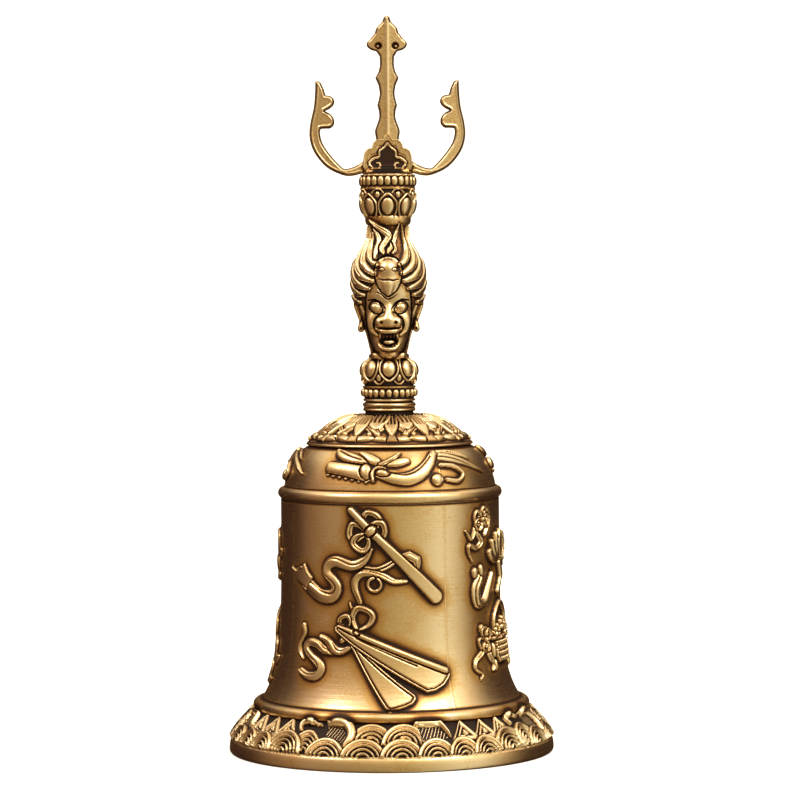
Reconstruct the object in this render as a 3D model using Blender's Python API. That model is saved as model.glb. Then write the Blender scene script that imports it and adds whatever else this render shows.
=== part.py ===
"""Ritual hand bell with a trident handle: a cast cup, a handle stacked on one tie rod, and a swivelling clapper.

Run with: blender --background --python part.py
Units are metres, +Z is up, and the origin is the centre of the mouth on the plane that the rim rests on.
The trident lies in the XZ plane, and the mask on the grip looks along -Y and along +Y.
"""

from math import atan2, cos, exp, hypot, pi, radians, sin

import bmesh
import bpy
from mathutils import Matrix, Vector

MM = 0.001

# Driving dimensions, in millimetres
MOUTH_RADIUS = 45.0
WAIST_RADIUS = 30.2
FLARE = 5.6
FLARE_LENGTH = 8.8
WALL = 2.6
LIP_HEIGHT = 4.1
LOWER_BAND_Z = 13.4
UPPER_BAND_Z = 71.9
CROWN_UNDER_Z = 86.5
CAP_TOP_Z = 92.9
COLLAR_TOP_Z = 96.8
SEAT_TOP_Z = 108.2
GRIP_TOP_Z = 147.9
CUP_TOP_Z = 159.2
ARM_TIP_Z = 185.4
PRONG_TIP_Z = 203.3
ROD_RADIUS = 2.5
CLAPPER_ROD_RADIUS = 1.5
BALL_RADIUS = 7.5
BALL_Z = 19.5
PIVOT_Z = 61.5
WIRE_RADIUS = 1.1
RING_RADIUS = 2.9
GAP = 0.3
ROD_BORE = ROD_RADIUS + GAP

# Facets round the axis
CUP_SIDES = 48
SEAT_SIDES = 40
CROWN_SIDES = 64
GRIP_SIDES = 40
SMALL_SIDES = 24


def clear_scene():
    for obj in list(bpy.data.objects):
        bpy.data.objects.remove(obj, do_unlink=True)


def metal(name, colour, roughness):
    """A metallic material with one colour."""
    made = bpy.data.materials.new(name)
    made.use_nodes = True
    shader = made.node_tree.nodes["Principled BSDF"]
    shader.inputs["Base Color"].default_value = (*colour, 1.0)
    shader.inputs["Metallic"].default_value = 1.0
    shader.inputs["Roughness"].default_value = roughness
    return made


def add_object(name, mesh_data, material=None):
    """Turns a bmesh in millimetres into an object in metres, with its faces pointing out."""
    bmesh.ops.recalc_face_normals(mesh_data, faces=mesh_data.faces)
    mesh_data.transform(Matrix.Scale(MM, 4))
    mesh = bpy.data.meshes.new(name)
    mesh_data.to_mesh(mesh)
    mesh_data.free()
    mesh.shade_smooth()
    mesh.set_sharp_from_angle(angle=radians(38))
    obj = bpy.data.objects.new(name, mesh)
    bpy.context.scene.collection.objects.link(obj)
    if material:
        mesh.materials.append(material)
    return obj


def combine(obj, tool, operation):
    """Joins the helper object tool to obj, or cuts it away. The helper itself isn't part of the bell."""
    tool.hide_render = True
    tool.display_type = "WIRE"
    modifier = obj.modifiers.new(operation.title(), "BOOLEAN")
    modifier.operation = operation
    modifier.solver = "EXACT"
    modifier.object = tool


def arc(centre, radius, start, end, steps):
    """Points of a circular arc, with angles in degrees from the first axis towards the second."""
    angles = [radians(start + (end - start) * i / steps) for i in range(steps + 1)]
    return [(centre[0] + radius * cos(a), centre[1] + radius * sin(a)) for a in angles]


def curve(p0, p1, p2, p3, steps):
    """Points of a cubic Bezier curve, ends included."""
    points = []
    for i in range(steps + 1):
        t = i / steps
        weights = ((1 - t) ** 3, 3 * t * (1 - t) ** 2, 3 * t * t * (1 - t), t**3)
        points.append(tuple(sum(w * p[k] for w, p in zip(weights, (p0, p1, p2, p3))) for k in (0, 1)))
    return points


def spun(outline, sides=SMALL_SIDES):
    """A bmesh turned about Z from an outline of (radius, z) points. Points on the axis become single poles."""
    mesh_data = bmesh.new()
    columns = []
    for r, z in outline:
        if r == 0:
            columns.append([mesh_data.verts.new((0, 0, z))] * sides)
            continue
        turns = [2 * pi * i / sides for i in range(sides)]
        columns.append([mesh_data.verts.new((r * cos(a), r * sin(a), z)) for a in turns])
    closing = columns[:1] if outline[0][0] else []
    rings = columns + closing
    for low, high in zip(rings, rings[1:]):
        for i in range(sides):
            j = (i + 1) % sides
            corners = list(dict.fromkeys((low[i], low[j], high[j], high[i])))
            mesh_data.faces.new(corners)
    return mesh_data


def cylinder(radius, low, high, sides=SMALL_SIDES):
    """A plain cylinder on the Z axis."""
    return spun([(0, low), (radius, low), (radius, high), (0, high)], sides)


def hexagon_nut(across_flats, bore, low, high):
    """A hexagonal nut with a plain round bore, both with the same number of facets round the axis."""
    mesh_data = spun([(bore, low), (across_flats / 2, low), (across_flats / 2, high), (bore, high)])
    for vert in mesh_data.verts:
        reach = hypot(vert.co.x, vert.co.y)
        if reach > bore + GAP:
            off_flat = (atan2(vert.co.y, vert.co.x) + pi / 6) % (pi / 3) - pi / 6
            vert.co.x /= cos(off_flat)
            vert.co.y /= cos(off_flat)
    return mesh_data


def torus(centre_z, axis_turn, major=RING_RADIUS, minor=WIRE_RADIUS, sides=20, facets=10):
    """A ring of round wire standing upright: at turn 0 it lies in the XZ plane, at 90 degrees in the YZ plane."""
    mesh_data = bmesh.new()
    turn = Matrix.Rotation(radians(axis_turn), 3, "Z")
    rings = []
    for i in range(sides):
        a = 2 * pi * i / sides
        ring = []
        for j in range(facets):
            b = 2 * pi * j / facets
            reach = major + minor * cos(b)
            spot = turn @ Vector((reach * sin(a), minor * sin(b), reach * cos(a)))
            ring.append(mesh_data.verts.new(spot + Vector((0, 0, centre_z))))
        rings.append(ring)
    for i, ring in enumerate(rings):
        following = rings[(i + 1) % sides]
        for j in range(facets):
            k = (j + 1) % facets
            mesh_data.faces.new((ring[j], ring[k], following[k], following[j]))
    return mesh_data


def plate(outline, front_y, back_y):
    """A flat plate: the outline of (x, z) points, extruded along Y."""
    mesh_data = bmesh.new()
    front = [mesh_data.verts.new((x, front_y, z)) for x, z in outline]
    back = [mesh_data.verts.new((x, back_y, z)) for x, z in outline]
    mesh_data.faces.new(front)
    mesh_data.faces.new(back[::-1])
    for i in range(len(outline)):
        j = (i + 1) % len(outline)
        mesh_data.faces.new((front[i], back[i], back[j], front[j]))
    return mesh_data


def mirrored(right_side):
    """A closed outline from its right half, which runs from the bottom on the axis to the top."""
    left_side = [(-x, z) for x, z in reversed(right_side) if x > 0]
    return right_side + left_side


def lobed(mesh_data, low, high, count, depth, inner, phase=0.0):
    """Draws a band of a ring in between count petals or beads, and leaves the bore as it is."""
    for vert in mesh_data.verts:
        reach = hypot(vert.co.x, vert.co.y)
        if not low <= vert.co.z <= high or reach <= inner:
            continue
        angle = atan2(vert.co.y, vert.co.x) + phase
        factor = 1 - depth * (1 - abs(cos(count * angle / 2))) / reach
        vert.co.x *= factor
        vert.co.y *= factor
    return mesh_data


def waist_radius(z):
    """Outer radius of the plain wall, flaring towards the mouth."""
    return WAIST_RADIUS + FLARE * exp(-(z - LOWER_BAND_Z - 1.7) / FLARE_LENGTH)


def shoulder():
    """Outer shoulder from the upper band to the place where the lotus cap sits, then the crown under the cap."""
    rounded = curve((29.2, UPPER_BAND_Z + 2.3), (28.1, 79.3), (25.7, 82.9), (23.2, 84.4), 7)
    crown = curve((23.2, 84.4), (19.0, 86.4), (13.5, 89.6), (ROD_BORE, 90.2), 5)
    return rounded + crown[1:]


def bell_body(material):
    wave_band = curve((44.0, LIP_HEIGHT), (43.2, 6.4), (40.6, 9.2), (38.0, LOWER_BAND_Z - 1.6), 5)
    lower_band = arc((36.8, LOWER_BAND_Z), 1.5, -60, 90, 4)
    wall_heights = [LOWER_BAND_Z + 1.7, 17.4, 20, 23, 27, 32, 40, 55, UPPER_BAND_Z - 1.7]
    wall = [(waist_radius(z), z) for z in wall_heights]
    upper_band = arc((29.4, UPPER_BAND_Z), 1.6, -80, 80, 6)
    lip = [(41.2, 0), (44.2, 0), (44.85, 0.7), (MOUTH_RADIUS, 1.6), (44.8, LIP_HEIGHT - 0.9), (44.3, LIP_HEIGHT - 0.2)]
    outside = lip + wave_band + lower_band + wall + upper_band + shoulder()
    inner_heights = [UPPER_BAND_Z, 50, 36, 28, 22, 18, LOWER_BAND_Z]
    inner_wall = [(waist_radius(z) - WALL, z) for z in inner_heights]
    inner_crown = [(ROD_BORE, CROWN_UNDER_Z), (14.0, 85.2), (21.0, 82.0), (25.6, 78.0)]
    inner_mouth = [(37.6, 8.5), (40.2, LIP_HEIGHT)]
    return add_object("bell_body", spun(outside + inner_crown + inner_wall + inner_mouth, CUP_SIDES), material)


def lotus_cap(material):
    """The low dome of petals on the crown, with a thin raised edge."""
    under = [(r, z + GAP) for r, z in curve((22.8, 84.6), (19.0, 86.4), (13.5, 89.6), (ROD_BORE, 90.2), 5)]
    dome = curve((22.4, 86.0), (18.2, 88.6), (16.0, CAP_TOP_Z - 0.4), (8.4, CAP_TOP_Z), 7)
    top = [(ROD_BORE, CAP_TOP_Z)]
    edge = [(23.2, 84.9), (23.3, 85.5), (22.8, 86.0)]
    mesh_data = spun(top + under[::-1] + edge + dome, CUP_SIDES)
    return add_object("lotus_cap", lobed(mesh_data, 86.1, CAP_TOP_Z - 0.2, 12, 0.5, 12.0), material)


def base_collar(material):
    low = CAP_TOP_Z + GAP
    outline = [(ROD_BORE, low), (6.9, low), (6.9, low + 0.6), (7.3, low + 0.7)]
    outline += arc((6.9, COLLAR_TOP_Z - 0.5), 0.45, 0, 90, 3)
    outline += [(ROD_BORE, COLLAR_TOP_Z - 0.05)]
    return add_object("base_collar", spun(outline, SEAT_SIDES), material)


def lower_lotus_seat(material):
    """A bead ring with downturned petals over it."""
    low = COLLAR_TOP_Z + GAP
    beads = arc((6.6, low + 1.6), 1.3, -75, 75, 4)
    petals = curve((7.2, low + 3.6), (8.3, low + 4.6), (8.4, low + 8.0), (6.9, low + 9.2), 5)
    top = [(6.0, SEAT_TOP_Z - 0.6), (5.8, SEAT_TOP_Z)]
    outline = [(ROD_BORE, low), (6.5, low)] + beads + petals + top + [(ROD_BORE, SEAT_TOP_Z)]
    mesh_data = spun(outline, SEAT_SIDES)
    lobed(mesh_data, low + 0.5, low + 2.7, 20, 0.5, 5.0)
    lobed(mesh_data, low + 3.7, low + 9.3, 8, 0.9, 5.0)
    return add_object("lower_lotus_seat", mesh_data, material)


def upper_lotus_cup(material):
    """Upturned petals under a gadrooned ring."""
    low = GRIP_TOP_Z + GAP
    petals = curve((6.1, low + 0.3), (8.0, low + 1.4), (8.4, low + 4.4), (7.1, low + 7.2), 5)
    ring = arc((6.7, CUP_TOP_Z - 1.5), 1.4, -70, 70, 5)
    outline = [(ROD_BORE, low), (5.9, low)] + petals + ring + [(6.2, CUP_TOP_Z), (ROD_BORE, CUP_TOP_Z)]
    mesh_data = spun(outline, CROWN_SIDES)
    lobed(mesh_data, low + 1.0, low + 6.5, 8, 0.9, 5.0)
    lobed(mesh_data, CUP_TOP_Z - 2.6, CUP_TOP_Z - 0.4, 32, 0.4, 5.0)
    return add_object("upper_lotus_cup", mesh_data, material)


# Half-width of the grip seen from the front, by height: neck, jaw, brow, flaring hair, throat and neck ring
GRIP_PROFILE = (
    (SEAT_TOP_Z + GAP, 5.6),
    (111.6, 5.3),
    (114.4, 6.6),
    (117.5, 7.9),
    (121.7, 8.8),
    (126.0, 9.9),
    (130.4, 10.4),
    (134.0, 9.8),
    (137.2, 8.3),
    (140.6, 6.1),
    (143.6, 5.5),
    (145.2, 5.6),
    (145.7, 6.2),
    (146.8, 6.5),
    (GRIP_TOP_Z - 0.2, 6.2),
    (GRIP_TOP_Z, 5.9),
)

# Each swelling on one face: offset across, height, half-width across, half-width up, and how far it stands out
FACE_SWELLINGS = (
    (0.0, 114.2, 2.8, 2.0, 1.6),
    (0.0, 121.0, 1.9, 2.2, 2.0),
    (-3.0, 119.2, 1.8, 2.0, 0.9),
    (3.0, 119.2, 1.8, 2.0, 0.9),
    (-3.4, 125.6, 2.2, 1.1, 1.3),
    (3.4, 125.6, 2.2, 1.1, 1.3),
    (-3.2, 122.8, 1.5, 1.0, -0.6),
    (3.2, 122.8, 1.5, 1.0, -0.6),
    (0.0, 116.9, 2.6, 0.9, -0.9),
    (0.0, 130.0, 2.4, 4.0, 1.6),
)


def between(table, z):
    """Value of a (z, value) table at z, on straight lines between its rows."""
    for (z0, v0), (z1, v1) in zip(table, table[1:]):
        if z <= z1:
            return v0 + (v1 - v0) * (z - z0) / (z1 - z0)
    return table[-1][1]


def face_height(across, z):
    """How far the mask's surface stands out from the plain grip."""
    total = 0.0
    for centre, middle, half_across, half_up, amount in FACE_SWELLINGS:
        total += amount * exp(-(((across - centre) / half_across) ** 2) - ((z - middle) / half_up) ** 2)
    return total


def handle_grip(material):
    """The column with a guardian mask on the front and the back, and locks of hair between them."""
    low, high = SEAT_TOP_Z + GAP, GRIP_TOP_Z
    levels = 30
    heights = [low + (144.6 - low) * i / levels for i in range(levels + 1)]
    heights += [z for z, _ in GRIP_PROFILE if z > 145]
    outline = [(ROD_BORE, low)] + [(between(GRIP_PROFILE, z), z) for z in heights] + [(ROD_BORE, high)]
    mesh_data = spun(outline, GRIP_SIDES)
    for vert in mesh_data.verts:
        reach = hypot(vert.co.x, vert.co.y)
        if reach < ROD_BORE + GAP or vert.co.z > 144.6:
            continue
        height = face_height(vert.co.x, vert.co.z)
        angle = atan2(vert.co.y, vert.co.x)
        facing = abs(sin(angle))
        hair = 0.35 * cos(10 * angle) * (1 - facing) * (112 < vert.co.z < 141)
        factor = (reach + hair + (height - 0.8) * facing**2) / reach
        vert.co.x *= factor
        vert.co.y *= factor
    return add_object("handle_grip", mesh_data, material)


def plaque_outline():
    """Ogee outline with two lobes a side and a pointed top."""
    low = CUP_TOP_Z + 1.2
    half = [(0, low), (6.4, low), (6.9, 161.4)]
    half += curve((6.5, 163.0), (6.9, 164.8), (6.0, 166.0), (5.0, 166.2), 3)
    half += curve((4.8, 167.0), (4.8, 168.4), (3.4, 169.2), (2.5, 169.2), 3)
    half += [(1.3, 170.2), (0, 171.2)]
    return mirrored(half)


def arm_outline():
    """One prong at the right: it leaves the plaque, sweeps out and up, and ends in two inward lobes and a point."""
    outer = curve((5.0, 161.2), (8.6, 160.6), (9.6, 159.2), (12.8, 159.4), 4)
    outer += curve((12.8, 159.4), (18.0, 159.8), (21.8, 164.6), (21.6, 171.0), 6)[1:]
    outer += [(21.0, 177.0), (20.3, 182.6), (19.8, ARM_TIP_Z)]
    lobes = [(18.8, 182.4)]
    lobes += curve((17.2, 181.4), (15.6, 181.0), (14.9, 180.0), (15.0, 178.6), 3)
    lobes += [(16.9, 177.3)]
    lobes += curve((15.0, 176.0), (14.2, 174.6), (14.6, 173.2), (15.9, 173.2), 3)
    inner = curve((18.0, 172.6), (18.8, 166.8), (15.8, 161.2), (11.6, 161.2), 6)
    inner += curve((11.6, 161.2), (9.4, 161.4), (8.0, 164.8), (5.0, 164.8), 3)[1:]
    return outer + lobes + inner


def center_prong_outline():
    """Spear with two swellings and an arrow head, on a tang."""
    tang_low = 166.2
    half = [(0, tang_low), (3.0, tang_low), (3.4, 171.6)]
    half += curve((3.4, 171.6), (2.9, 174.2), (2.3, 174.6), (2.2, 175.8), 3)[1:]
    half += [(2.9, 178.4), (2.1, 180.8), (2.2, 183.4), (3.2, 186.2), (2.2, 188.6), (2.0, 190.8)]
    half += curve((2.0, 190.8), (2.9, 193.4), (5.0, 193.6), (5.8, 195.6), 3)[1:]
    half += [(4.1, 197.8), (3.0, 199.6), (1.1, 202.2), (0, PRONG_TIP_Z)]
    return mirrored(half)


PLAQUE_HALF_DEPTH = 3.4
ARM_HALF_DEPTH = 1.7
PRONG_HALF_DEPTH = 1.5
PIN_RADIUS = 0.9
PIN_Z = 168.0


def trident_yoke(material):
    """Front and back plaques with the side prongs between them, on a round foot that the tie rod screws into."""
    foot_low = CUP_TOP_Z + GAP
    yoke = add_object("trident_yoke", plate(plaque_outline(), -PLAQUE_HALF_DEPTH, PLAQUE_HALF_DEPTH), material)
    foot = spun([(0, foot_low), (6.6, foot_low), (7.0, foot_low + 0.6), (6.8, foot_low + 1.6), (0, foot_low + 1.7)])
    combine(yoke, add_object("yoke_foot_shape", foot), "UNION")
    for side in (1, -1):
        outline = [(side * x, z) for x, z in arm_outline()]
        arm = add_object(f"arm_shape_{side}", plate(outline, -ARM_HALF_DEPTH, ARM_HALF_DEPTH))
        combine(yoke, arm, "UNION")
    socket_low = 166.2 - GAP
    socket = [(-3.4 - GAP, socket_low), (3.4 + GAP, socket_low), (3.4 + GAP, 172.5), (-3.4 - GAP, 172.5)]
    half_slot = PRONG_HALF_DEPTH + GAP
    combine(yoke, add_object("prong_socket_shape", plate(socket, -half_slot, half_slot)), "DIFFERENCE")
    combine(yoke, add_object("rod_hole_shape", cylinder(ROD_BORE, foot_low - 1, 164.4)), "DIFFERENCE")
    combine(yoke, pin_shape("pin_hole_shape", PIN_RADIUS + GAP, -PLAQUE_HALF_DEPTH + 0.6, 6.0), "DIFFERENCE")
    return yoke


def pin_shape(name, radius, front_y, back_y, material=None):
    """A cylinder along Y at the height of the prong's pin."""
    mesh_data = cylinder(radius, front_y, back_y, 16)
    mesh_data.transform(Matrix.Translation((0, 0, PIN_Z)) @ Matrix.Rotation(radians(-90), 4, "X"))
    return add_object(name, mesh_data, material)


def center_prong(material):
    outline = center_prong_outline()
    prong = add_object("center_prong", plate(outline, -PRONG_HALF_DEPTH, PRONG_HALF_DEPTH), material)
    combine(prong, pin_shape("prong_hole_shape", PIN_RADIUS + GAP, -6.0, 6.0), "DIFFERENCE")
    return prong


def prong_pin(material):
    return pin_shape("prong_pin", PIN_RADIUS, -PLAQUE_HALF_DEPTH + 0.6 + GAP, PLAQUE_HALF_DEPTH - 0.1, material)


# Heights of the pieces under the crown, each from its top down
WASHER_TOP_Z = CROWN_UNDER_Z - 0.6
LOCK_TOP_Z = WASHER_TOP_Z - 1.0 - GAP
NUT_TOP_Z = LOCK_TOP_Z - 1.0 - GAP
CAP_NUT_TOP_Z = NUT_TOP_Z - 4.0 - GAP
ROD_END_Z = CAP_NUT_TOP_Z - 3.6
HEAD_TOP_Z = ROD_END_Z - GAP - 0.3
HEAD_LOW_Z = HEAD_TOP_Z - 2.2
CAP_NUT_LOW_Z = HEAD_LOW_Z - 1.9


def tie_rod(material):
    chamfer = 0.4
    low, high = ROD_END_Z, 164.0
    outline = [(0, low), (ROD_RADIUS - chamfer, low), (ROD_RADIUS, low + chamfer)]
    outline += [(ROD_RADIUS, high - chamfer), (ROD_RADIUS - chamfer, high), (0, high)]
    return add_object("tie_rod", spun(outline), material)


def washer(name, outer, top, material):
    outline = [(ROD_BORE, top - 1.0), (outer, top - 1.0), (outer, top), (ROD_BORE, top)]
    return add_object(name, spun(outline), material)


def crown_nut(material):
    return add_object("crown_nut", hexagon_nut(9.0, ROD_BORE, NUT_TOP_Z - 4.0, NUT_TOP_Z), material)


def hanger_cap(material):
    """A sleeve nut on the end of the rod. The head of the swivel eye turns in the hollow at its foot."""
    hollow = 3.3 + GAP
    mouth = 1.5 + GAP
    outline = [
        (ROD_BORE, CAP_NUT_TOP_Z),
        (ROD_BORE, HEAD_TOP_Z + GAP),
        (hollow, HEAD_TOP_Z + GAP),
        (hollow, HEAD_LOW_Z - GAP),
        (mouth, HEAD_LOW_Z - GAP),
        (mouth, CAP_NUT_LOW_Z),
        (3.6, CAP_NUT_LOW_Z),
        (5.0, CAP_NUT_LOW_Z + 1.2),
        (5.0, CAP_NUT_TOP_Z - 0.5),
        (4.6, CAP_NUT_TOP_Z),
    ]
    return add_object("hanger_cap", spun(outline), material)


def swivel_eye(material):
    """A headed shank that turns in the hanger cap, with a ring that the clapper hangs from."""
    ring_z = PIVOT_Z + RING_RADIUS
    shank_low = ring_z + RING_RADIUS
    outline = [(0, shank_low), (1.5, shank_low), (1.5, HEAD_LOW_Z), (3.3, HEAD_LOW_Z), (3.3, HEAD_TOP_Z), (0, HEAD_TOP_Z)]
    eye = add_object("swivel_eye", spun(outline), material)
    combine(eye, add_object("eye_ring_shape", torus(ring_z, 0)), "UNION")
    return eye


def clapper_rod(material):
    """The clapper's stem, with a ring at the top and a collar that the ball sits against."""
    ring_z = PIVOT_Z + 2 * WIRE_RADIUS + GAP - RING_RADIUS
    stem_top = ring_z - RING_RADIUS
    collar_low = BALL_Z + BALL_RADIUS
    low = BALL_Z - BALL_RADIUS - 3.6
    stem = CLAPPER_ROD_RADIUS
    outline = [(0, low), (stem, low), (stem, collar_low), (2.7, collar_low), (2.7, collar_low + 1.2)]
    outline += [(stem, collar_low + 1.8), (stem, stem_top), (0, stem_top)]
    rod = add_object("clapper_rod", spun(outline), material)
    combine(rod, add_object("clapper_ring_shape", torus(ring_z, 90)), "UNION")
    return rod


def clapper_ball(material):
    bore = CLAPPER_ROD_RADIUS + GAP
    outline = arc((0, BALL_Z), BALL_RADIUS, -76, 76, 12)
    outline = [(bore, outline[0][1])] + outline[1:-1] + [(bore, outline[-1][1])]
    return add_object("clapper_ball", spun(outline), material)


def clapper_end_nut(material):
    top = BALL_Z - BALL_RADIUS - 0.1
    return add_object("clapper_end_nut", hexagon_nut(6.4, CLAPPER_ROD_RADIUS + GAP, top - 2.6, top), material)


def main():
    clear_scene()
    brass = metal("antique_brass", (0.56, 0.36, 0.13), 0.34)
    dark_brass = metal("dark_brass", (0.40, 0.25, 0.10), 0.45)
    steel = metal("plated_steel", (0.46, 0.45, 0.42), 0.38)
    for build in (bell_body, lotus_cap, base_collar, lower_lotus_seat, handle_grip, upper_lotus_cup, trident_yoke):
        build(brass)
    center_prong(brass)
    prong_pin(dark_brass)
    tie_rod(steel)
    washer("crown_washer", 6.5, WASHER_TOP_Z, steel)
    washer("lock_washer", 4.6, LOCK_TOP_Z, steel)
    crown_nut(steel)
    hanger_cap(steel)
    swivel_eye(steel)
    clapper_rod(steel)
    clapper_ball(dark_brass)
    clapper_end_nut(steel)


main()
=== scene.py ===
"""The looks of a ritual hand bell in antiqued brass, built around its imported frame.

The cup and the crown are turned walls with relief pressed into them. The handle pieces are modelled as
solid clay, a block of distances that is meshed at its surface. Lengths are in millimetres until a mesh is
made. A direction round the axis is an angle in degrees: 0 faces the viewer (-Y), and it grows towards +X.
"""

from math import asin, atan2, ceil, cos, degrees, floor, hypot, pi, radians, sin

import bpy
import numpy as np
import openvdb
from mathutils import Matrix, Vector


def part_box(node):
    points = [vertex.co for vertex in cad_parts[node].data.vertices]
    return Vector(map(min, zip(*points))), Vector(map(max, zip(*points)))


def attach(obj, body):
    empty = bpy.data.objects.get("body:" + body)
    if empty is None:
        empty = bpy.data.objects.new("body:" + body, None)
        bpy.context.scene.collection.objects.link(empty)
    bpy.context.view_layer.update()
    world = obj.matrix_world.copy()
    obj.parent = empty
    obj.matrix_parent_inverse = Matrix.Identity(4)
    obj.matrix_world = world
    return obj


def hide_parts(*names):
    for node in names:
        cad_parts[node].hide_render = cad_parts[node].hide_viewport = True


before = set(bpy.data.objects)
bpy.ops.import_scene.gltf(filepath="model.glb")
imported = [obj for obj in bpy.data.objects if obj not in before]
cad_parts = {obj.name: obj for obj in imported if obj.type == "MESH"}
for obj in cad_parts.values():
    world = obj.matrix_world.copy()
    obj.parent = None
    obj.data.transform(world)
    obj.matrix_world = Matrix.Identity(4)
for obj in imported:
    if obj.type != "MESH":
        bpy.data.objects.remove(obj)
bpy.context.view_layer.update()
MM = 0.001


def box_mm(node):
    """The low and the high corner of a CAD node's box."""
    low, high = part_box(node)
    return np.array(low) / MM, np.array(high) / MM


def foot_and_top(node):
    """The lowest and the highest Z of a CAD node."""
    low, high = box_mm(node)
    return low[2], high[2]


# ---------------------------------------------------------------- sizes from the frame
MOUTH_RADIUS = box_mm("bell_body")[1][0]
CAP_TOP_Z = foot_and_top("lotus_cap")[1]
COLLAR_LOW_Z, COLLAR_TOP_Z = foot_and_top("base_collar")
SEAT_LOW_Z, SEAT_TOP_Z = foot_and_top("lower_lotus_seat")
GRIP_LOW_Z, GRIP_TOP_Z = foot_and_top("handle_grip")
CUP_LOW_Z, CUP_TOP_Z = foot_and_top("upper_lotus_cup")
ARM_TIP_Z = foot_and_top("trident_yoke")[1]
PRONG_TIP_Z = foot_and_top("center_prong")[1]
HEAD_TOP_Z = foot_and_top("swivel_eye")[1]
BALL_LOW_Z, BALL_TOP_Z = foot_and_top("clapper_ball")
BALL_RADIUS = box_mm("clapper_ball")[1][0]
BALL_Z = (BALL_LOW_Z + BALL_TOP_Z) / 2

# ---------------------------------------------------------------- sizes that the boxes don't show
# Clearance between neighbouring solids, and the part of it that clamped pieces close
GAP = 0.3
CLAMP_GAP = 0.28
WAIST_RADIUS = MOUTH_RADIUS * 0.671
FLARE, FLARE_LENGTH = 5.6, 8.8
WALL = 2.6
LIP_HEIGHT = 4.1
LOWER_BAND_Z = 13.4
UPPER_BAND_Z = 71.9
BAND_HALF = 1.7
WAIST_LOW_Z, WAIST_TOP_Z = LOWER_BAND_Z + BAND_HALF, UPPER_BAND_Z - BAND_HALF
CROWN_UNDER_Z = 86.5
BORE = 2.8
SEAT_RADIUS = 7.6
HAIR_RADIUS = 9.0
SPIGOT_RADIUS = 4.7
YOKE_LOW_Z = CUP_TOP_Z + GAP
PLAQUE_HALF = 3.4
PRONG_HALF = 1.5
PRONG_LOW_Z = 166.2
PIN_Z = 168.0
PIN_RADIUS = 0.9
ROD_RADIUS = 2.5
THREAD_PITCH = 0.8
THREAD_DEPTH = 0.35
HEAD_LOW_Z = HEAD_TOP_Z - 2.2
PIVOT_Z = 61.5
RING_RADIUS, WIRE_RADIUS = 2.9, 1.1
STEM_RADIUS = 1.5

# ---------------------------------------------------------------- how the surfaces are made
# Directions of the four joints of the casting mould, which lie between the panels of ornament
MOULD_SEAMS = [29 + 90 * i for i in range(4)]
# Points round a turned wall, round a lotus ring and round the hair, and the edge of a voxel of clay
COLUMNS = 1200
SEAT_COLUMNS = 480
HAIR_COLUMNS = 640
CLAY_STEP = 0.14
# A block of clay reaches this far past the surface, so that all of that is inside it
CLAY_MARGIN = 1.6
# From the middle of a wire ring to the sides of its block
RING_ROOM = RING_RADIUS + WIRE_RADIUS + CLAY_MARGIN
# How far out the surroundings of a spot are felt, and how much each distance counts, for the patina and
# painted shade in hollows of the clay
REACHES = ((0.3, 0.45), (0.7, 0.45), (1.3, 0.35))
# How much patina lies on the bare ground between the figures of a close pattern
BLACKENED = 0.7


# ---------------------------------------------------------------- curves in the plane
def bezier(p0, p1, p2, p3, steps):
    """A cubic Bezier curve."""
    t = np.linspace(0, 1, steps + 1)[:, None]
    p0, p1, p2, p3 = map(np.array, (p0, p1, p2, p3))
    return (1 - t) ** 3 * p0 + 3 * t * (1 - t) ** 2 * p1 + 3 * t * t * (1 - t) * p2 + t**3 * p3


def arc(centre, radius, start, end, steps):
    """Part of a circle between two angles in degrees."""
    a = np.radians(np.linspace(start, end, steps + 1))
    return np.stack([centre[0] + radius * np.cos(a), centre[1] + radius * np.sin(a)], axis=1)


def smooth_curve(points, steps=8):
    """A Catmull-Rom curve through the points, in as many dimensions as they have."""
    p = np.array(points, float)
    p = np.vstack([2 * p[0] - p[1], p, 2 * p[-1] - p[-2]])
    t = np.linspace(0, 1, steps, endpoint=False)[:, None]
    pieces = []
    for a, b, c, d in zip(p, p[1:], p[2:], p[3:]):
        pieces.append(b + 0.5 * t * (c - a + t * (2 * a - 5 * b + 4 * c - d + t * (3 * (b - c) + d - a))))
    return np.vstack(pieces + [p[-2]])


def closed_curve(points, steps=4):
    """A smooth closed outline through the points."""
    count = len(points)
    wrapped = [points[i % count] for i in range(-2, count + 2)]
    line = smooth_curve(wrapped, steps)
    return line[2 * steps : (2 + count) * steps]


def both_halves(half):
    """The right half of an outline, from its foot to its top on the axis, and its mirror image back down."""
    mirrored = np.flip(half, 0) * (-1, 1)
    return np.vstack([half, mirrored[mirrored[:, 0] < 0]])


def looped(outline):
    """An outline with its first point again at its end."""
    return np.vstack([outline, outline[:1]])


def on_side(side, points):
    """Points of the right side, or their mirror images when the side is -1."""
    return [(side * x, *rest) for x, *rest in points]


def steps_along(line):
    """The length of each stretch of a polyline."""
    return np.hypot(*np.diff(line, axis=0).T)


def distances_along(line):
    """The length of a polyline up to each of its points."""
    return np.concatenate([[0], np.cumsum(steps_along(line))])


def spread(line, count):
    """The same polyline with that many evenly spaced points."""
    lengths = distances_along(line)
    at = np.linspace(0, lengths[-1], count)
    return np.stack([np.interp(at, lengths, line[:, 0]), np.interp(at, lengths, line[:, 1])], axis=1)


def resampled(line, spacing):
    """The same polyline with evenly spaced points, about that far apart."""
    line = np.array(line, float)
    return spread(line, max(2, round(distances_along(line)[-1] / spacing) + 1))


def smooth_step(x):
    """Rises smoothly from 0 to 1 as x does."""
    x = np.clip(x, 0, 1)
    return x * x * (3 - 2 * x)


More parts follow.
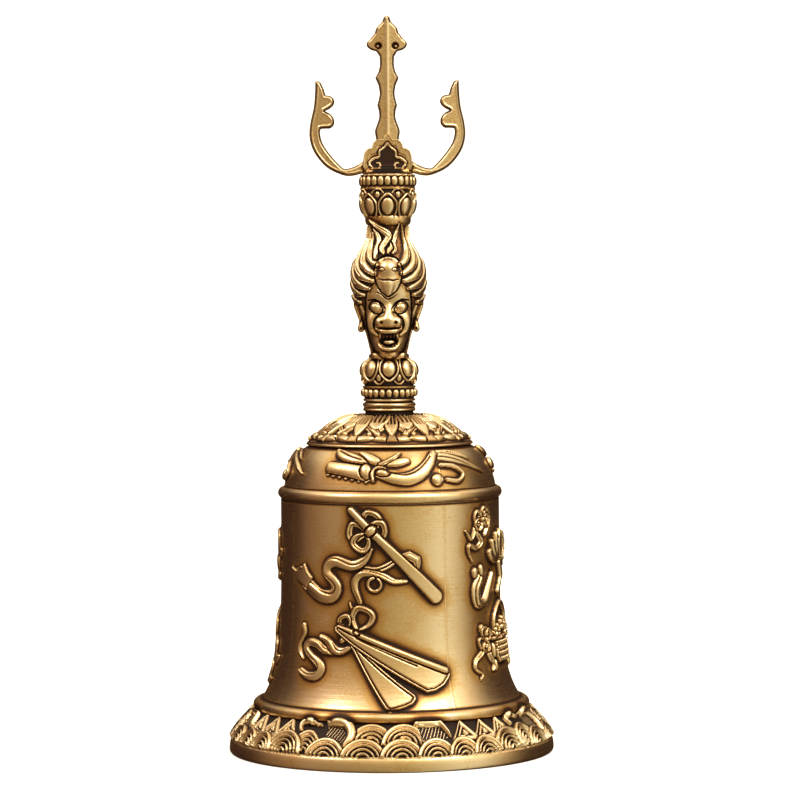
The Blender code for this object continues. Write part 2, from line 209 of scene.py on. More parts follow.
# ---------------------------------------------------------------- relief
class Canvas:
    """A band of wall rolled out flat. Heights drawn on it stand out from the wall."""

    def __init__(self, low, high, radius, grain, columns=COLUMNS, halo=1.7):
        self.grain = grain
        self.halo = halo
        self.columns = columns
        self.up = np.linspace(low, high, round((high - low) / grain) + 1)
        self.pitch = 2 * pi * radius / columns
        self.height = np.zeros((len(self.up), columns))

    def window(self, angle, box):
        """Indices and local coordinates of the part of the band that a box round the angle covers."""
        left, right, bottom, top = box
        middle = (angle + 180) / 360 * self.columns
        columns = np.arange(floor(middle + left / self.pitch), ceil(middle + right / self.pitch) + 1)
        rows = np.arange(*np.searchsorted(self.up, (bottom, top)))
        x, y = np.meshgrid((columns - middle) * self.pitch, self.up[rows])
        return np.ix_(rows, columns % self.columns), x, y

    def lay(self, angle, shape, bevel=0.35, moat=0.35, lift=0.0):
        """Lays a shape over what is there, with a rounded edge and a narrow ditch round it."""
        box, draw = shape
        where, x, y = self.window(angle, box)
        if not x.size:
            return
        distance, height = draw(x, y)
        edge = np.sqrt(1 - (1 - np.clip(-distance / bevel, 0, 1)) ** 2)
        below = self.height[where]
        inside = height * edge + lift * below
        self.height[where] = np.where(distance < 0, inside, below * smooth_step(distance / moat))

    def cut(self, angle, shape, depth, width=0.18):
        """Engraves a shape, fading out over a width round its edge."""
        box, draw = shape
        where, x, y = self.window(angle, box)
        if x.size:
            distance, _ = draw(x, y)
            self.height[where] -= depth * np.exp(-((np.maximum(distance, 0) / width) ** 2))

    def score(self, angle, points, depth, width=0.18, smooth=True):
        """Engraves a thin line through the points."""
        self.cut(angle, cord(points, 0.05, smooth=smooth), depth, width)

    def ring(self, middle, half, height):
        """A round moulding that runs all the way round."""
        share = np.clip(np.abs(self.up - middle) / half, 0, 1)
        self.height += (height * np.sqrt(1 - share**2))[:, None]


def blurred(height, sigma_rows, sigma_columns):
    """Gaussian blur that wraps round the axis and mirrors at the band's edges."""
    rows = height.shape[0]
    tall = np.vstack([height, height[::-1]])
    fy = np.fft.fftfreq(tall.shape[0])[:, None]
    fx = np.fft.rfftfreq(tall.shape[1])[None, :]
    kernel = np.exp(-2 * pi**2 * ((fy * sigma_rows) ** 2 + (fx * sigma_columns) ** 2))
    return np.fft.irfft2(np.fft.rfft2(tall) * kernel, s=tall.shape)[:rows]


def recesses(canvas):
    """How each spot lies in its surroundings: 1 deep in a corner, 0 on open ground, -1 on a sharp edge. It
    stains hollows with patina and painted shade, with a wide dark halo round the relief, and lightens edges
    as rubbed bright.
    """
    near = blurred(canvas.height, 0.35 / canvas.grain, 0.35 / canvas.pitch) - canvas.height
    wide = blurred(canvas.height, 1.5 / canvas.grain, 1.5 / canvas.pitch) - canvas.height
    return np.clip(3.8 * near + canvas.halo * wide, -1, 1)


def nearest_on(line, x, y):
    """Distance to a polyline, the share of it before the nearest spot, and the side: +1 left, -1 right."""
    best = np.full(x.shape, 1e9)
    along = np.zeros(x.shape)
    side = np.ones(x.shape)
    count = len(line) - 1
    for i, (a, b) in enumerate(zip(line, line[1:])):
        dx, dy = b - a
        t = np.clip(((x - a[0]) * dx + (y - a[1]) * dy) / max(dx * dx + dy * dy, 1e-9), 0, 1)
        rx, ry = x - a[0] - t * dx, y - a[1] - t * dy
        distance = np.hypot(rx, ry)
        closer = distance < best
        best = np.where(closer, distance, best)
        along = np.where(closer, (i + t) / count, along)
        side = np.where(closer, np.sign(dx * ry - dy * rx), side)
    return best, along, side


def box_round(line, margin):
    """The left, right, bottom and top of a box that clears a line by the margin."""
    (left, bottom), (right, top) = line.min(axis=0) - margin, line.max(axis=0) + margin
    return left, right, bottom, top


def cord(points, widths, height=1.0, smooth=True):
    """A round-backed strand whose half-width, one number or several, follows widths along its length."""
    line = smooth_curve(points) if smooth else np.array(points, float)
    widths = np.atleast_1d(widths)
    stations = np.linspace(0, 1, len(widths))

    def draw(x, y):
        distance, along, _ = nearest_on(line, x, y)
        half = np.interp(along, stations, widths)
        share = np.clip(distance / half, 0, 1)
        return distance - half, height * (0.35 + 0.65 * np.sqrt(1 - share**2))

    return box_round(line, max(widths) + 0.8), draw


def ribbon(points, widths, height=0.9, folds=2.0, turn=0.0):
    """A flat band with thick edges, a groove off its middle and slow folds along it."""
    line = smooth_curve(points)
    stations = np.linspace(0, 1, len(widths))

    def draw(x, y):
        distance, along, side = nearest_on(line, x, y)
        half = np.interp(along, stations, widths)
        across = side * distance / half
        crest = 0.35 * np.sin(2 * pi * (folds * along + turn))
        body = 0.72 + 0.28 * np.cos(2.2 * (across - crest))
        groove = 0.42 * np.exp(-(((across + 0.45 - crest) / 0.14) ** 2))
        return distance - half, height * (body - groove)

    return box_round(line, max(widths) + 0.8), draw


def polygon_distance(line, x, y):
    """Signed distance to a closed outline, negative inside."""
    ring = looped(line)
    best, _, _ = nearest_on(ring, x, y)
    inside = np.zeros(x.shape, bool)
    for (ax, ay), (bx, by) in zip(ring, ring[1:]):
        if ay == by:
            continue
        crossing = ((ay > y) != (by > y)) & (x < ax + (y - ay) * (bx - ax) / (by - ay))
        inside ^= crossing
    return np.where(inside, -best, best)


def plate(outline, height=0.9, border=0.0, groove=0.6, corner=0.0):
    """A flat plate, grown by its corner radius, with a line engraved a border's width in from its edge."""
    line = np.array(outline, float)

    def draw(x, y):
        distance = polygon_distance(line, x, y) - corner
        top = np.full(x.shape, height)
        if border:
            top -= groove * np.exp(-(((-distance - border) / 0.17) ** 2))
        return distance, top

    return box_round(line, 0.9 + corner), draw


def swollen(line, height, reach=2.6):
    """A closed outline filled like a cushion, whose rise ends at that reach from its edge."""

    def draw(x, y):
        distance = polygon_distance(line, x, y)
        outward = 1 - np.clip(-distance / reach, 0, 1)
        return distance, height * (0.35 + 0.65 * np.sqrt(1 - outward**2))

    return box_round(line, 0.9), draw


def dome(centre, radii, height=1.0, turn=0.0):
    """An oval cushion."""
    c, s = cos(radians(turn)), sin(radians(turn))
    reach = max(radii) + 0.8

    def draw(x, y):
        dx, dy = x - centre[0], y - centre[1]
        share = np.hypot((dx * c + dy * s) / radii[0], (dy * c - dx * s) / radii[1])
        return (share - 1) * min(radii), height * np.sqrt(np.clip(1 - 0.8 * share**2, 0.05, 1))

    box = (centre[0] - reach, centre[0] + reach, centre[1] - reach, centre[1] + reach)
    return box, draw


def rotated(points, turn, centre=(0.0, 0.0)):
    """Points turned by an angle in degrees, then moved to a centre."""
    c, s = cos(radians(turn)), sin(radians(turn))
    return [(centre[0] + x * c - y * s, centre[1] + x * s + y * c) for x, y in points]


def unrolled(points, radius=WAIST_RADIUS):
    """Points seen from straight in front of the wall, laid out along it."""
    return [(radius * asin(np.clip(x / radius, -1, 1)), y) for x, y in points]


# ---------------------------------------------------------------- ornament of the waist
# The front pair is drawn in (x, z) points as the viewer sees them, the other emblems round their middle
def loop_of(canvas, angle, knot, direction, length, width, height=0.95):
    """A bow's loop: a ribbon that leaves the knot and comes back to it."""
    outline = [(0, 0), (0.45, 0.42), (0.9, 0.38), (1.0, 0), (0.86, -0.36), (0.45, -0.34), (0.1, -0.06)]
    points = rotated([(length * x, length * y) for x, y in outline], direction, knot)
    canvas.lay(angle, ribbon(points, [width * 0.6, width, width, width, width * 0.5], height, 0.5))


def drum_tube(canvas, angle):
    """A bamboo drum tube tied with a bow, over long ribbons."""
    flying = [(-3.6, 58.5), (-5.6, 55.6), (-8.9, 54.0), (-13.4, 55.0), (-15.6, 53.9), (-15.8, 51.9)]
    flying += [(-14.2, 49.9), (-13.3, 47.9), (-14.6, 45.8), (-17.5, 45.7), (-20.0, 47.4)]
    flying += [(-22.0, 49.5), (-23.2, 51.2)]
    widths = [0.4, 1.2, 1.5, 1.4, 1.3, 1.6, 1.8, 1.8, 2.0, 2.1]
    canvas.lay(angle, ribbon(unrolled(flying), widths, 1.0, 2.2))
    torn_end = [(-21.4, 47.4), (-24.3, 49.6), (-26.0, 53.2), (-24.2, 52.0)]
    torn_end += [(-23.0, 52.4), (-22.0, 54.2), (-21.2, 52.2), (-19.8, 50.4)]
    canvas.lay(angle, plate(unrolled(torn_end), 0.8))
    behind = [(-5.4, 53.7), (-2.4, 53.4), (0.9, 54.7), (3.4, 56.6)]
    for shift in (0.0, -0.95):
        lower = [(x, z + shift) for x, z in behind]
        canvas.lay(angle, cord(unrolled(lower), [0.36, 0.42, 0.42], 0.7))
    leaf = [(3.8, 57.0), (6.3, 57.9), (9.2, 56.2), (9.3, 54.6)]
    leaf += [(8.6, 52.2), (7.8, 53.2), (7.2, 54.8), (5.6, 55.6)]
    canvas.lay(angle, plate(unrolled(leaf), 0.8, 0.5, 0.3))
    curl = [(5.4, 49.9), (2.2, 49.9), (-0.7, 51.3), (-3.6, 52.0), (-6.4, 51.9), (-8.1, 50.3), (-8.2, 47.9)]
    curl += [(-7.3, 45.4), (-6.9, 43.8), (-8.0, 42.5)]
    canvas.lay(angle, ribbon(unrolled(curl), [0.5, 0.85, 0.95, 0.95, 1.0, 0.9, 0.7, 0.35], 0.85, 1.5))
    canvas.lay(angle, cord(unrolled([(-7.6, 42.8), (-8.9, 42.5), (-9.6, 44.2)]), [0.6, 0.55, 0.25], 0.8))
    ring = arc((-3.0, 49.1), 1.75, 100, 420, 24)
    canvas.lay(angle, cord(ring, [0.55, 0.5, 0.45], 0.95, smooth=False))
    for direction, length in ((68, 5.2), (8, 4.8), (176, 4.8), (238, 5.0)):
        loop_of(canvas, angle, (-5.0, 62.9), direction, length, 0.82, 1.05)
    top, foot = np.array(unrolled([(-9.1, 68.7), (13.0, 45.7)]))
    canvas.lay(angle, tube_shape(top, foot, (1.1, 1.2, 1.2, 1.45, 1.75, 1.95)), bevel=0.5)
    knot = top + (foot - top) * 0.235
    turn = degrees(atan2(*(foot - top)[::-1]))
    canvas.lay(angle, dome(knot, (1.35, 1.85), 1.9, turn), bevel=0.5)
    canvas.score(angle, rotated([(0.0, 1.7), (0.25, 0.0), (0.0, -1.7)], turn, knot), 0.3)


def tube_shape(top, foot, widths):
    """A tapering tube: round at its top, pressed flat towards its foot."""
    line = np.linspace(top, foot, 9)
    stations = np.linspace(0, 1, len(widths))

    def draw(x, y):
        distance, along, _ = nearest_on(line, x, y)
        half = np.interp(along, stations, widths)
        share = np.clip(distance / half, 0, 1)
        round_back = 0.5 + 1.1 * np.sqrt(1 - share**2)
        return distance - half * 0.98, round_back + (1.15 - round_back) * smooth_step((along - 0.25) / 0.3)

    return box_round(line, max(widths) + 0.8), draw


def clappers(canvas, angle):
    """Two long clapper boards on one string, with a bow and a winding ribbon."""
    strand = [(-22.2, 37.2), (-21.9, 35.4), (-22.9, 32.8), (-22.8, 30.5), (-21.7, 28.6)]
    canvas.lay(angle, ribbon(unrolled(strand), [1.1, 0.85, 0.7, 0.9, 0.4], 0.8, 1.0))
    winding = [(-13.4, 31.0), (-16.1, 31.3), (-18.3, 32.8), (-20.4, 33.0), (-21.1, 31.4), (-19.6, 29.3)]
    winding += [(-17.5, 27.7), (-16.8, 26.0), (-17.9, 24.3), (-20.0, 24.2), (-21.9, 25.3)]
    canvas.lay(angle, ribbon(unrolled(winding), [0.9, 1.15, 1.15, 1.1, 1.25, 1.2, 1.2, 0.9], 0.95, 2.0, 0.3))
    upper = [(-9.3, 32.3), (-11.6, 31.3), (-13.6, 31.7), (-15.4, 33.8), (-17.2, 34.9)]
    canvas.lay(angle, ribbon(unrolled(upper), [0.6, 1.0, 1.3, 1.0, 0.7], 1.05, 1.0))
    canvas.lay(angle, dome((-11.7, 34.2), (1.1, 0.8), 0.9, 40))
    loop_of(canvas, angle, (-7.6, 36.6), 68, 6.2, 0.85, 1.05)
    loop_of(canvas, angle, (-10.0, 37.2), 118, 3.6, 0.65, 0.95)
    short = [(-9.2, 33.4), (-7.0, 32.2), (-0.6, 26.0), (6.6, 19.4), (6.8, 18.5)]
    short += [(6.0, 17.3), (4.2, 16.3), (2.0, 15.5), (0.9, 15.3), (0.1, 15.9)]
    canvas.lay(angle, plate(unrolled(short), 1.05, 0.75, 0.75, 0.3))
    far_edge = [(9.6, 20.4), (11.7, 20.8), (13.8, 22.2), (15.1, 24.2), (15.5, 25.7)]
    long = [(-7.4, 36.6), (-12.3, 38.4), (-13.2, 37.3), (-12.9, 36.6), (-9.0, 33.4)] + far_edge
    canvas.lay(angle, plate(unrolled(long), 1.35, 0.75, 0.8, 0.3))
    canvas.lay(angle, cord(unrolled([(-12.4, 38.0), (-7.4, 35.9), (14.6, 25.9)]), [0.35, 0.75, 1.0], 1.6))
    canvas.score(angle, unrolled([(-7.8, 34.9), (7.6, 27.4)]), 0.5)
    canvas.lay(angle, dome((-7.7, 36.2), (0.9, 0.6), 1.7, -30))


def bow(canvas, angle, x, z, size=1.0, turn=0.0):
    """A knot with four loops."""
    for direction in (38, 142, 205, 335):
        loop_of(canvas, angle, (x, z), direction + turn, 3.9 * size, 0.52)
    canvas.lay(angle, dome((x, z), (1.0 * size, 0.8 * size), 1.35, turn))


def tail(canvas, angle, x, z, side, size=1.0):
    """A pair of ribbons that stream from a knot to one side."""
    upper = [(0, 0), (3.4, -1.6), (6.4, 0.8), (8.8, 2.8), (11.4, 1.2)]
    upper += [(11.0, -1.6), (13.6, -3.6), (16.2, -2.0)]
    upper_widths = [0.6, 1.1, 1.2, 1.2, 1.0, 1.3, 0.6]
    lower = [(0, 0), (1.6, -3.4), (4.6, -5.0), (7.4, -3.8), (9.0, -6.0)]
    lower += [(7.8, -8.6), (10.2, -10.4), (12.6, -9.2)]
    lower_widths = [0.5, 0.9, 1.0, 0.9, 1.0, 0.45]
    for points, widths in ((upper, upper_widths), (lower, lower_widths)):
        placed = [(x + side * size * px, z + size * pz) for px, pz in points]
        canvas.lay(angle, ribbon(placed, [w * size for w in widths], 0.9, 2.0, 0.2))


def gourd(canvas, angle, z):
    """A waisted gourd with a bow round its neck and ribbons on both sides."""
    tail(canvas, angle, 0, z + 1.5, -1)
    tail(canvas, angle, 0, z + 1.5, 1, 0.95)
    body = [(0, -8.4), (3.4, -7.8), (5.0, -5.0), (4.3, -2.0), (1.7, -0.1)]
    body += [(2.9, 2.0), (2.7, 4.2), (0.8, 5.7), (0.6, 7.6)]
    line = smooth_curve(looped(both_halves(body)), 4)[:-1] + (0, z)
    canvas.lay(angle, swollen(line, 1.9))
    canvas.lay(angle, cord([(-1.9, z - 0.4), (0, z - 1.0), (1.9, z - 0.4)], [0.4, 0.55, 0.4], 1.9))
    bow(canvas, angle, 0.4, z + 0.2, 0.9)
    canvas.lay(angle, cord([(0.2, z + 7.2), (0.6, z + 8.6), (1.8, z + 9.2)], [0.6, 0.4, 0.3], 1.1))


def fan(canvas, angle, z):
    """A palm-leaf fan with ribs, a handle and ribbons."""
    tail(canvas, angle, -2, z - 3.5, -1)
    tail(canvas, angle, 2, z - 3.5, 1, 0.9)
    outline = both_halves([(0, -3.0), (4.6, -2.4), (8.2, 1.4), (6.4, 5.2), (2.2, 7.4), (0, 8.6)])
    leaf = smooth_curve(looped(outline), 4)[:-1] + (0, z)
    canvas.lay(angle, plate(leaf, 1.2, 0.6, 0.3))
    for turn in range(-60, 61, 20):
        rib = rotated([(0, 0.6), (0, 7.4)], turn, (0, z - 2.4))
        canvas.lay(angle, cord(rib, [0.2, 0.28], 1.3, smooth=False), moat=0.12, lift=0.1)
    canvas.lay(angle, cord([(0, z - 2.2), (0, z - 11.5)], [0.7, 0.8, 1.0], 1.4, smooth=False))
    bow(canvas, angle, 0, z - 3.2, 0.95)


def sword(canvas, angle, z):
    """A straight sword in front of crossed ribbons."""
    tail(canvas, angle, -3, z + 3.0, -1)
    tail(canvas, angle, 4, z - 2.5, 1)
    turn = -38

    def placed(*points):
        """Points of a sword that lies along X with its guard near 6."""
        return rotated(points, turn, (0, z))

    blade = placed((-13.5, 0), (-12.0, 0.95), (5.6, 1.15), (5.6, -1.15), (-12.0, -0.95))
    canvas.lay(angle, plate(blade, 1.15))
    canvas.score(angle, placed((-12.4, 0), (5.0, 0)), 0.35)
    canvas.lay(angle, cord(placed((5.9, 3.0), (6.4, 0), (5.9, -3.0)), [0.45, 1.0, 0.45], 1.6))
    canvas.lay(angle, cord(placed((6.6, 0), (12.2, 0)), [0.75, 0.95, 0.75], 1.4, smooth=False))
    for x in range(5):
        canvas.score(angle, placed((7.4 + x, 0.9), (7.4 + x, -0.9)), 0.35, smooth=False)
    canvas.lay(angle, dome(placed((12.9, 0))[0], (1.2, 1.2), 1.6))
    bow(canvas, angle, *placed((6.0, 0))[0], 0.95, turn)


def flute(canvas, angle, z):
    """A side-blown flute hung with ribbons."""
    tail(canvas, angle, -5, z + 1.5, -1, 0.9)
    tail(canvas, angle, 5, z - 2.0, 1, 0.9)

    def placed(*points):
        """Points of a flute that lies along X."""
        return rotated(points, 33, (0, z))

    canvas.lay(angle, cord(placed((-14.0, 0), (14.0, 0)), [1.25, 1.3, 1.25], 1.6, smooth=False))
    for at in (-13.0, -6.2, 5.8, 13.0):
        canvas.lay(angle, cord(placed((at, 1.3), (at, -1.3)), [0.4, 0.5, 0.4], 1.75, smooth=False), moat=0.15)
    for at in (-3.6, -1.6, 0.4, 2.4):
        canvas.cut(angle, dome(placed((at, 0))[0], (0.42, 0.42)), 0.7)
    bow(canvas, angle, *placed((-6.2, 0))[0], 0.9, 20)
    bow(canvas, angle, *placed((5.8, 0))[0], 0.8, 10)


def lotus(canvas, angle, z):
    """An open lotus on a bent stalk, with knots of ribbon beside it."""

    def strip(points, widths, height=1.0):
        canvas.lay(angle, ribbon([(x, z + up) for x, up in points], widths, height, 1.0))

    stalk = [(-10.8, -7.4), (-12.0, -8.8), (-13.4, -11.4), (-12.6, -14.8)]
    stalk += [(-9.8, -14.6), (-7.8, -11.2), (-5.6, -7.6)]
    strip(stalk, [0.9, 1.3, 1.5, 1.6, 1.3, 0.9, 0.8], 1.2)
    canvas.lay(angle, dome((-13.6, z - 6.8), (1.2, 1.5), 1.2))
    canvas.lay(angle, dome((-10.6, z - 6.4), (1.3, 1.8), 1.1, 20))
    strip([(-10.6, 8.0), (-13.0, 5.2), (-14.8, 2.2), (-17.0, 4.6)], [0.9, 0.8, 0.6, 0.2])
    winding = [(-12.6, 4.0), (-10.8, 1.4), (-12.8, -0.2), (-15.6, 0.6), (-15.8, -1.6), (-14.4, -3.8)]
    strip(winding, [0.7, 0.9, 0.7, 0.5, 0.2])
    strip([(-9.6, 9.0), (-7.4, 8.4), (-7.2, 5.2), (-9.0, 3.2)], [0.8, 1.1, 1.2, 0.6])
    bow(canvas, angle, -10.2, z + 7.4, 0.85, 15)
    petal = smooth_curve(looped(both_halves([(0, 0), (2.1, 3.0), (1.7, 6.2), (0, 8.4)])), 4)[:-1]
    for turn in (-72, -48, 72, 48, -24, 24, 0):
        line = np.array(rotated(petal, turn, (0, z - 4.0)))
        canvas.lay(angle, swollen(line, 1.35 + 0.25 * cos(radians(turn)), 1.2))
        vein = rotated([(0, 1.5), (0, 6.6)], turn, (0, z - 4.0))
        canvas.cut(angle, cord(vein, 0.04, smooth=False), 0.22)
    canvas.lay(angle, cord([(0, z - 5.0), (1.0, z - 9.0), (-1.6, z - 12.5)], [0.8, 0.7, 0.8], 1.2))
    tail(canvas, angle, 4.4, z - 2.0, 1, 0.8)


def basket(canvas, angle, z):
    """A basket of flowers under a tall handle, with tassels and ribbons."""
    outer = [(-9.6, -1.0), (-12.2, -3.6), (-14.8, -5.4), (-15.2, -7.4), (-13.2, -9.0), (-14.0, -10.6)]
    inner = [(-9.6, -1.4), (-8.6, -4.6), (-6.8, -6.8), (-8.0, -8.4)]
    for points, widths in ((outer, [0.7, 0.8, 0.5, 0.6, 0.2]), (inner, [0.7, 0.8, 0.8, 0.5])):
        canvas.lay(angle, ribbon([(x, z + up) for x, up in points], widths, 1.0, 1.0))
    canvas.lay(angle, dome((-11.4, z + 3.0), (1.2, 1.3), 1.2))
    bow(canvas, angle, -9.8, z, 0.8, 60)
    handle = [(-5.2, z - 1.0), (-5.0, z + 5.6), (0, z + 9.4), (5.0, z + 5.6), (5.2, z - 1.0)]
    canvas.lay(angle, cord(handle, [0.7, 0.65, 0.65, 0.7], 1.2))
    bowl = [(-6.4, z), (6.4, z), (5.6, z - 4.4), (4.0, z - 6.8), (-4.0, z - 6.8), (-5.6, z - 4.4)]
    canvas.lay(angle, plate(bowl, 1.3, 0.5, 0.15))
    for row in range(4):
        for step in range(-4 + row // 2, 5 - row // 2):
            spot = (step * 1.3 + 0.65 * (row % 2), z - 1.2 - row * 1.5)
            canvas.lay(angle, dome(spot, (0.62, 0.5), 1.55), moat=0.1)
    canvas.lay(angle, cord([(-6.6, z), (6.6, z)], 0.6, 1.6, smooth=False))
    for x, dz in ((-3.8, 1.9), (0.2, 3.6), (3.9, 1.8)):
        flower(canvas, angle, x, z + dz, 2.0)
    for x in (-6.3, 6.3):
        canvas.lay(angle, dome((x, z - 3.4), (0.9, 2.4), 1.2))
        canvas.lay(angle, dome((x, z - 7.2), (0.8, 1.7), 1.1))
    tail(canvas, angle, 6.8, z - 1.0, 1, 0.7)


def flower(canvas, angle, x, z, size):
    """Five round petals about a boss."""
    for i in range(5):
        px, pz = rotated([(0, size * 0.58)], 72 * i, (x, z))[0]
        canvas.lay(angle, dome((px, pz), (size * 0.42, size * 0.5), 1.6, 72 * i), moat=0.15)
    canvas.lay(angle, dome((x, z), (size * 0.28, size * 0.28), 1.9), moat=0.15)


def waist_relief():
    """Eight emblems, two on each of four panels round the waist."""
    canvas = Canvas(WAIST_LOW_Z, WAIST_TOP_Z, WAIST_RADIUS, 0.19, halo=1.25)
    front, right, back, left = -2.2, 74, 164, 254
    lotus(canvas, right, 58)
    basket(canvas, right, 33)
    sword(canvas, back, 58)
    flute(canvas, back, 32)
    gourd(canvas, left, 57)
    fan(canvas, left, 33)
    drum_tube(canvas, front)
    clappers(canvas, front)
    for seam in MOULD_SEAMS:
        line = [(0.0, WAIST_LOW_Z - 1), (0.12, 40.0), (0.0, WAIST_TOP_Z + 1)]
        canvas.lay(seam, cord(line, 0.16, 0.06), moat=0.05, lift=0.6)
    return canvas


# ---------------------------------------------------------------- ornament of the mouth band
# Points are (x, up): millimetres along the band, and up from the lip
def scale_wave(canvas, angle, half_width, top, height=1.3):
    """A fish-scale wave: a broad smooth outer ring and thin rings inside it."""
    tall, broad, pitch = 6.5, 1.3, 1.2
    stretch = tall / half_width
    centre_up = top - tall

    def draw(x, y):
        r = np.hypot(x * stretch, y - centre_up)
        depth = tall - r
        outer = np.sqrt(np.clip(1 - ((depth - 0.5 * broad) / (0.62 * broad)) ** 2, 0, 1))
        thin = 0.95 * smooth_step(-0.2 - 1.6 * np.cos(2 * pi * (depth - broad) / pitch))
        return -depth, height * np.where(depth < broad, outer, thin)

    box = (-half_width - 0.6, half_width + 0.6, centre_up, top + 0.6)
    canvas.lay(angle, (box, draw), bevel=0.15, moat=0.4)


def peak(canvas, angle, half_width, top, lean):
    """A mountain peak: nested pointed lines, with a broad smooth flank on its right."""
    foot, pitch, flank = 4.0, 1.0, 0.6
    rock = np.array([(-half_width, foot), (lean, top), (half_width, foot)])

    def draw(x, y):
        distance = polygon_distance(rock, x, y)
        ridge = lean * np.clip((y - foot) / (top - foot), 0, 1)
        inward = -distance - np.where(x > ridge, flank, 0)
        lines = smooth_step(-0.1 + 1.6 * np.cos(2 * pi * (inward - 0.25) / pitch))
        return distance, 0.95 * np.where(inward < 0.2, 1, lines)

    canvas.lay(angle, (box_round(rock, 0.6), draw), bevel=0.2, moat=0.35)


def crest(canvas, angle, lip, widths, hollow):
    """A breaking wave: a smooth curling lip over a dark hollow with thin streaks."""
    line = np.array(hollow)

    def streaks(x, y):
        phase = 2 * pi * (x - 0.45 * y) / 0.95
        return polygon_distance(line, x, y), 0.6 * smooth_step(2.0 * np.cos(phase) - 1.4)

    canvas.lay(angle, (box_round(line, 0.6), streaks), bevel=0.3)
    canvas.lay(angle, cord(lip, widths, 1.55), bevel=0.4, moat=0.5)


def mouth_relief(length):
    """Waves and mountains, in four groups round the band. The groups' middle faces the viewer."""
    canvas = Canvas(0, length, MOUTH_RADIUS * 0.9, 0.15, halo=2.1)
    for group in range(4):
        middle = -1 + 90 * group
        peaks = ((47.4, 4.0, 10.9, 0.2), (38.6, 4.2, 10.5, 0.2), (29.8, 4.2, 10.7, -0.2))
        for offset, half, top, lean in peaks:
            peak(canvas, middle + offset, half, top, lean)
        for offset, half, top in ((-31.2, 4.2, 7.2), (-6.4, 6.0, 9.9), (5.8, 6.0, 9.9), (49.2, 5.8, 6.6)):
            scale_wave(canvas, middle + offset, half, top)
        hook = [(-2.2, 7.2), (-2.8, 8.9), (-1.5, 10.8), (0.0, 11.2), (1.2, 10.0), (2.4, 9.2), (3.8, 9.1)]
        hook = cord(hook, [0.5, 0.6, 0.75, 0.8, 0.65, 0.55, 0.35], 1.4)
        canvas.lay(middle - 32.8, hook, bevel=0.3, moat=0.45)
        lip = [(-4.2, 10.0), (-2.4, 11.0), (0.0, 10.9), (2.0, 9.6), (3.2, 7.6)]
        lip += [(3.3, 5.4), (2.4, 3.3), (1.7, 2.1)]
        hollow = [(-4.0, 9.4), (-1.0, 9.9), (1.8, 8.4), (2.2, 6.0), (1.8, 3.0), (-1.0, 4.0), (-3.8, 5.6)]
        crest(canvas, middle - 18.9, lip, [0.5, 1.1, 1.4, 1.45, 1.35, 1.15, 0.75, 0.2], hollow)
        lip = [(-4.9, 9.6), (-3.9, 10.3), (-0.7, 10.3), (1.7, 10.4), (2.9, 8.8), (3.7, 7.1), (4.3, 5.3)]
        hollow = [(-4.2, 9.2), (2.2, 9.6), (3.9, 5.0), (-3.4, 4.6)]
        crest(canvas, middle + 17.5, lip, [0.6, 1.1, 0.8, 0.9, 0.65, 0.45, 0.2], hollow)
        for offset, half in ((-22.9, 5.5), (-8.9, 5.9), (4.7, 5.6), (17.1, 5.1), (27.6, 4.4), (37.4, 4.5)):
            scale_wave(canvas, middle + offset, half, 5.1)
    return canvas


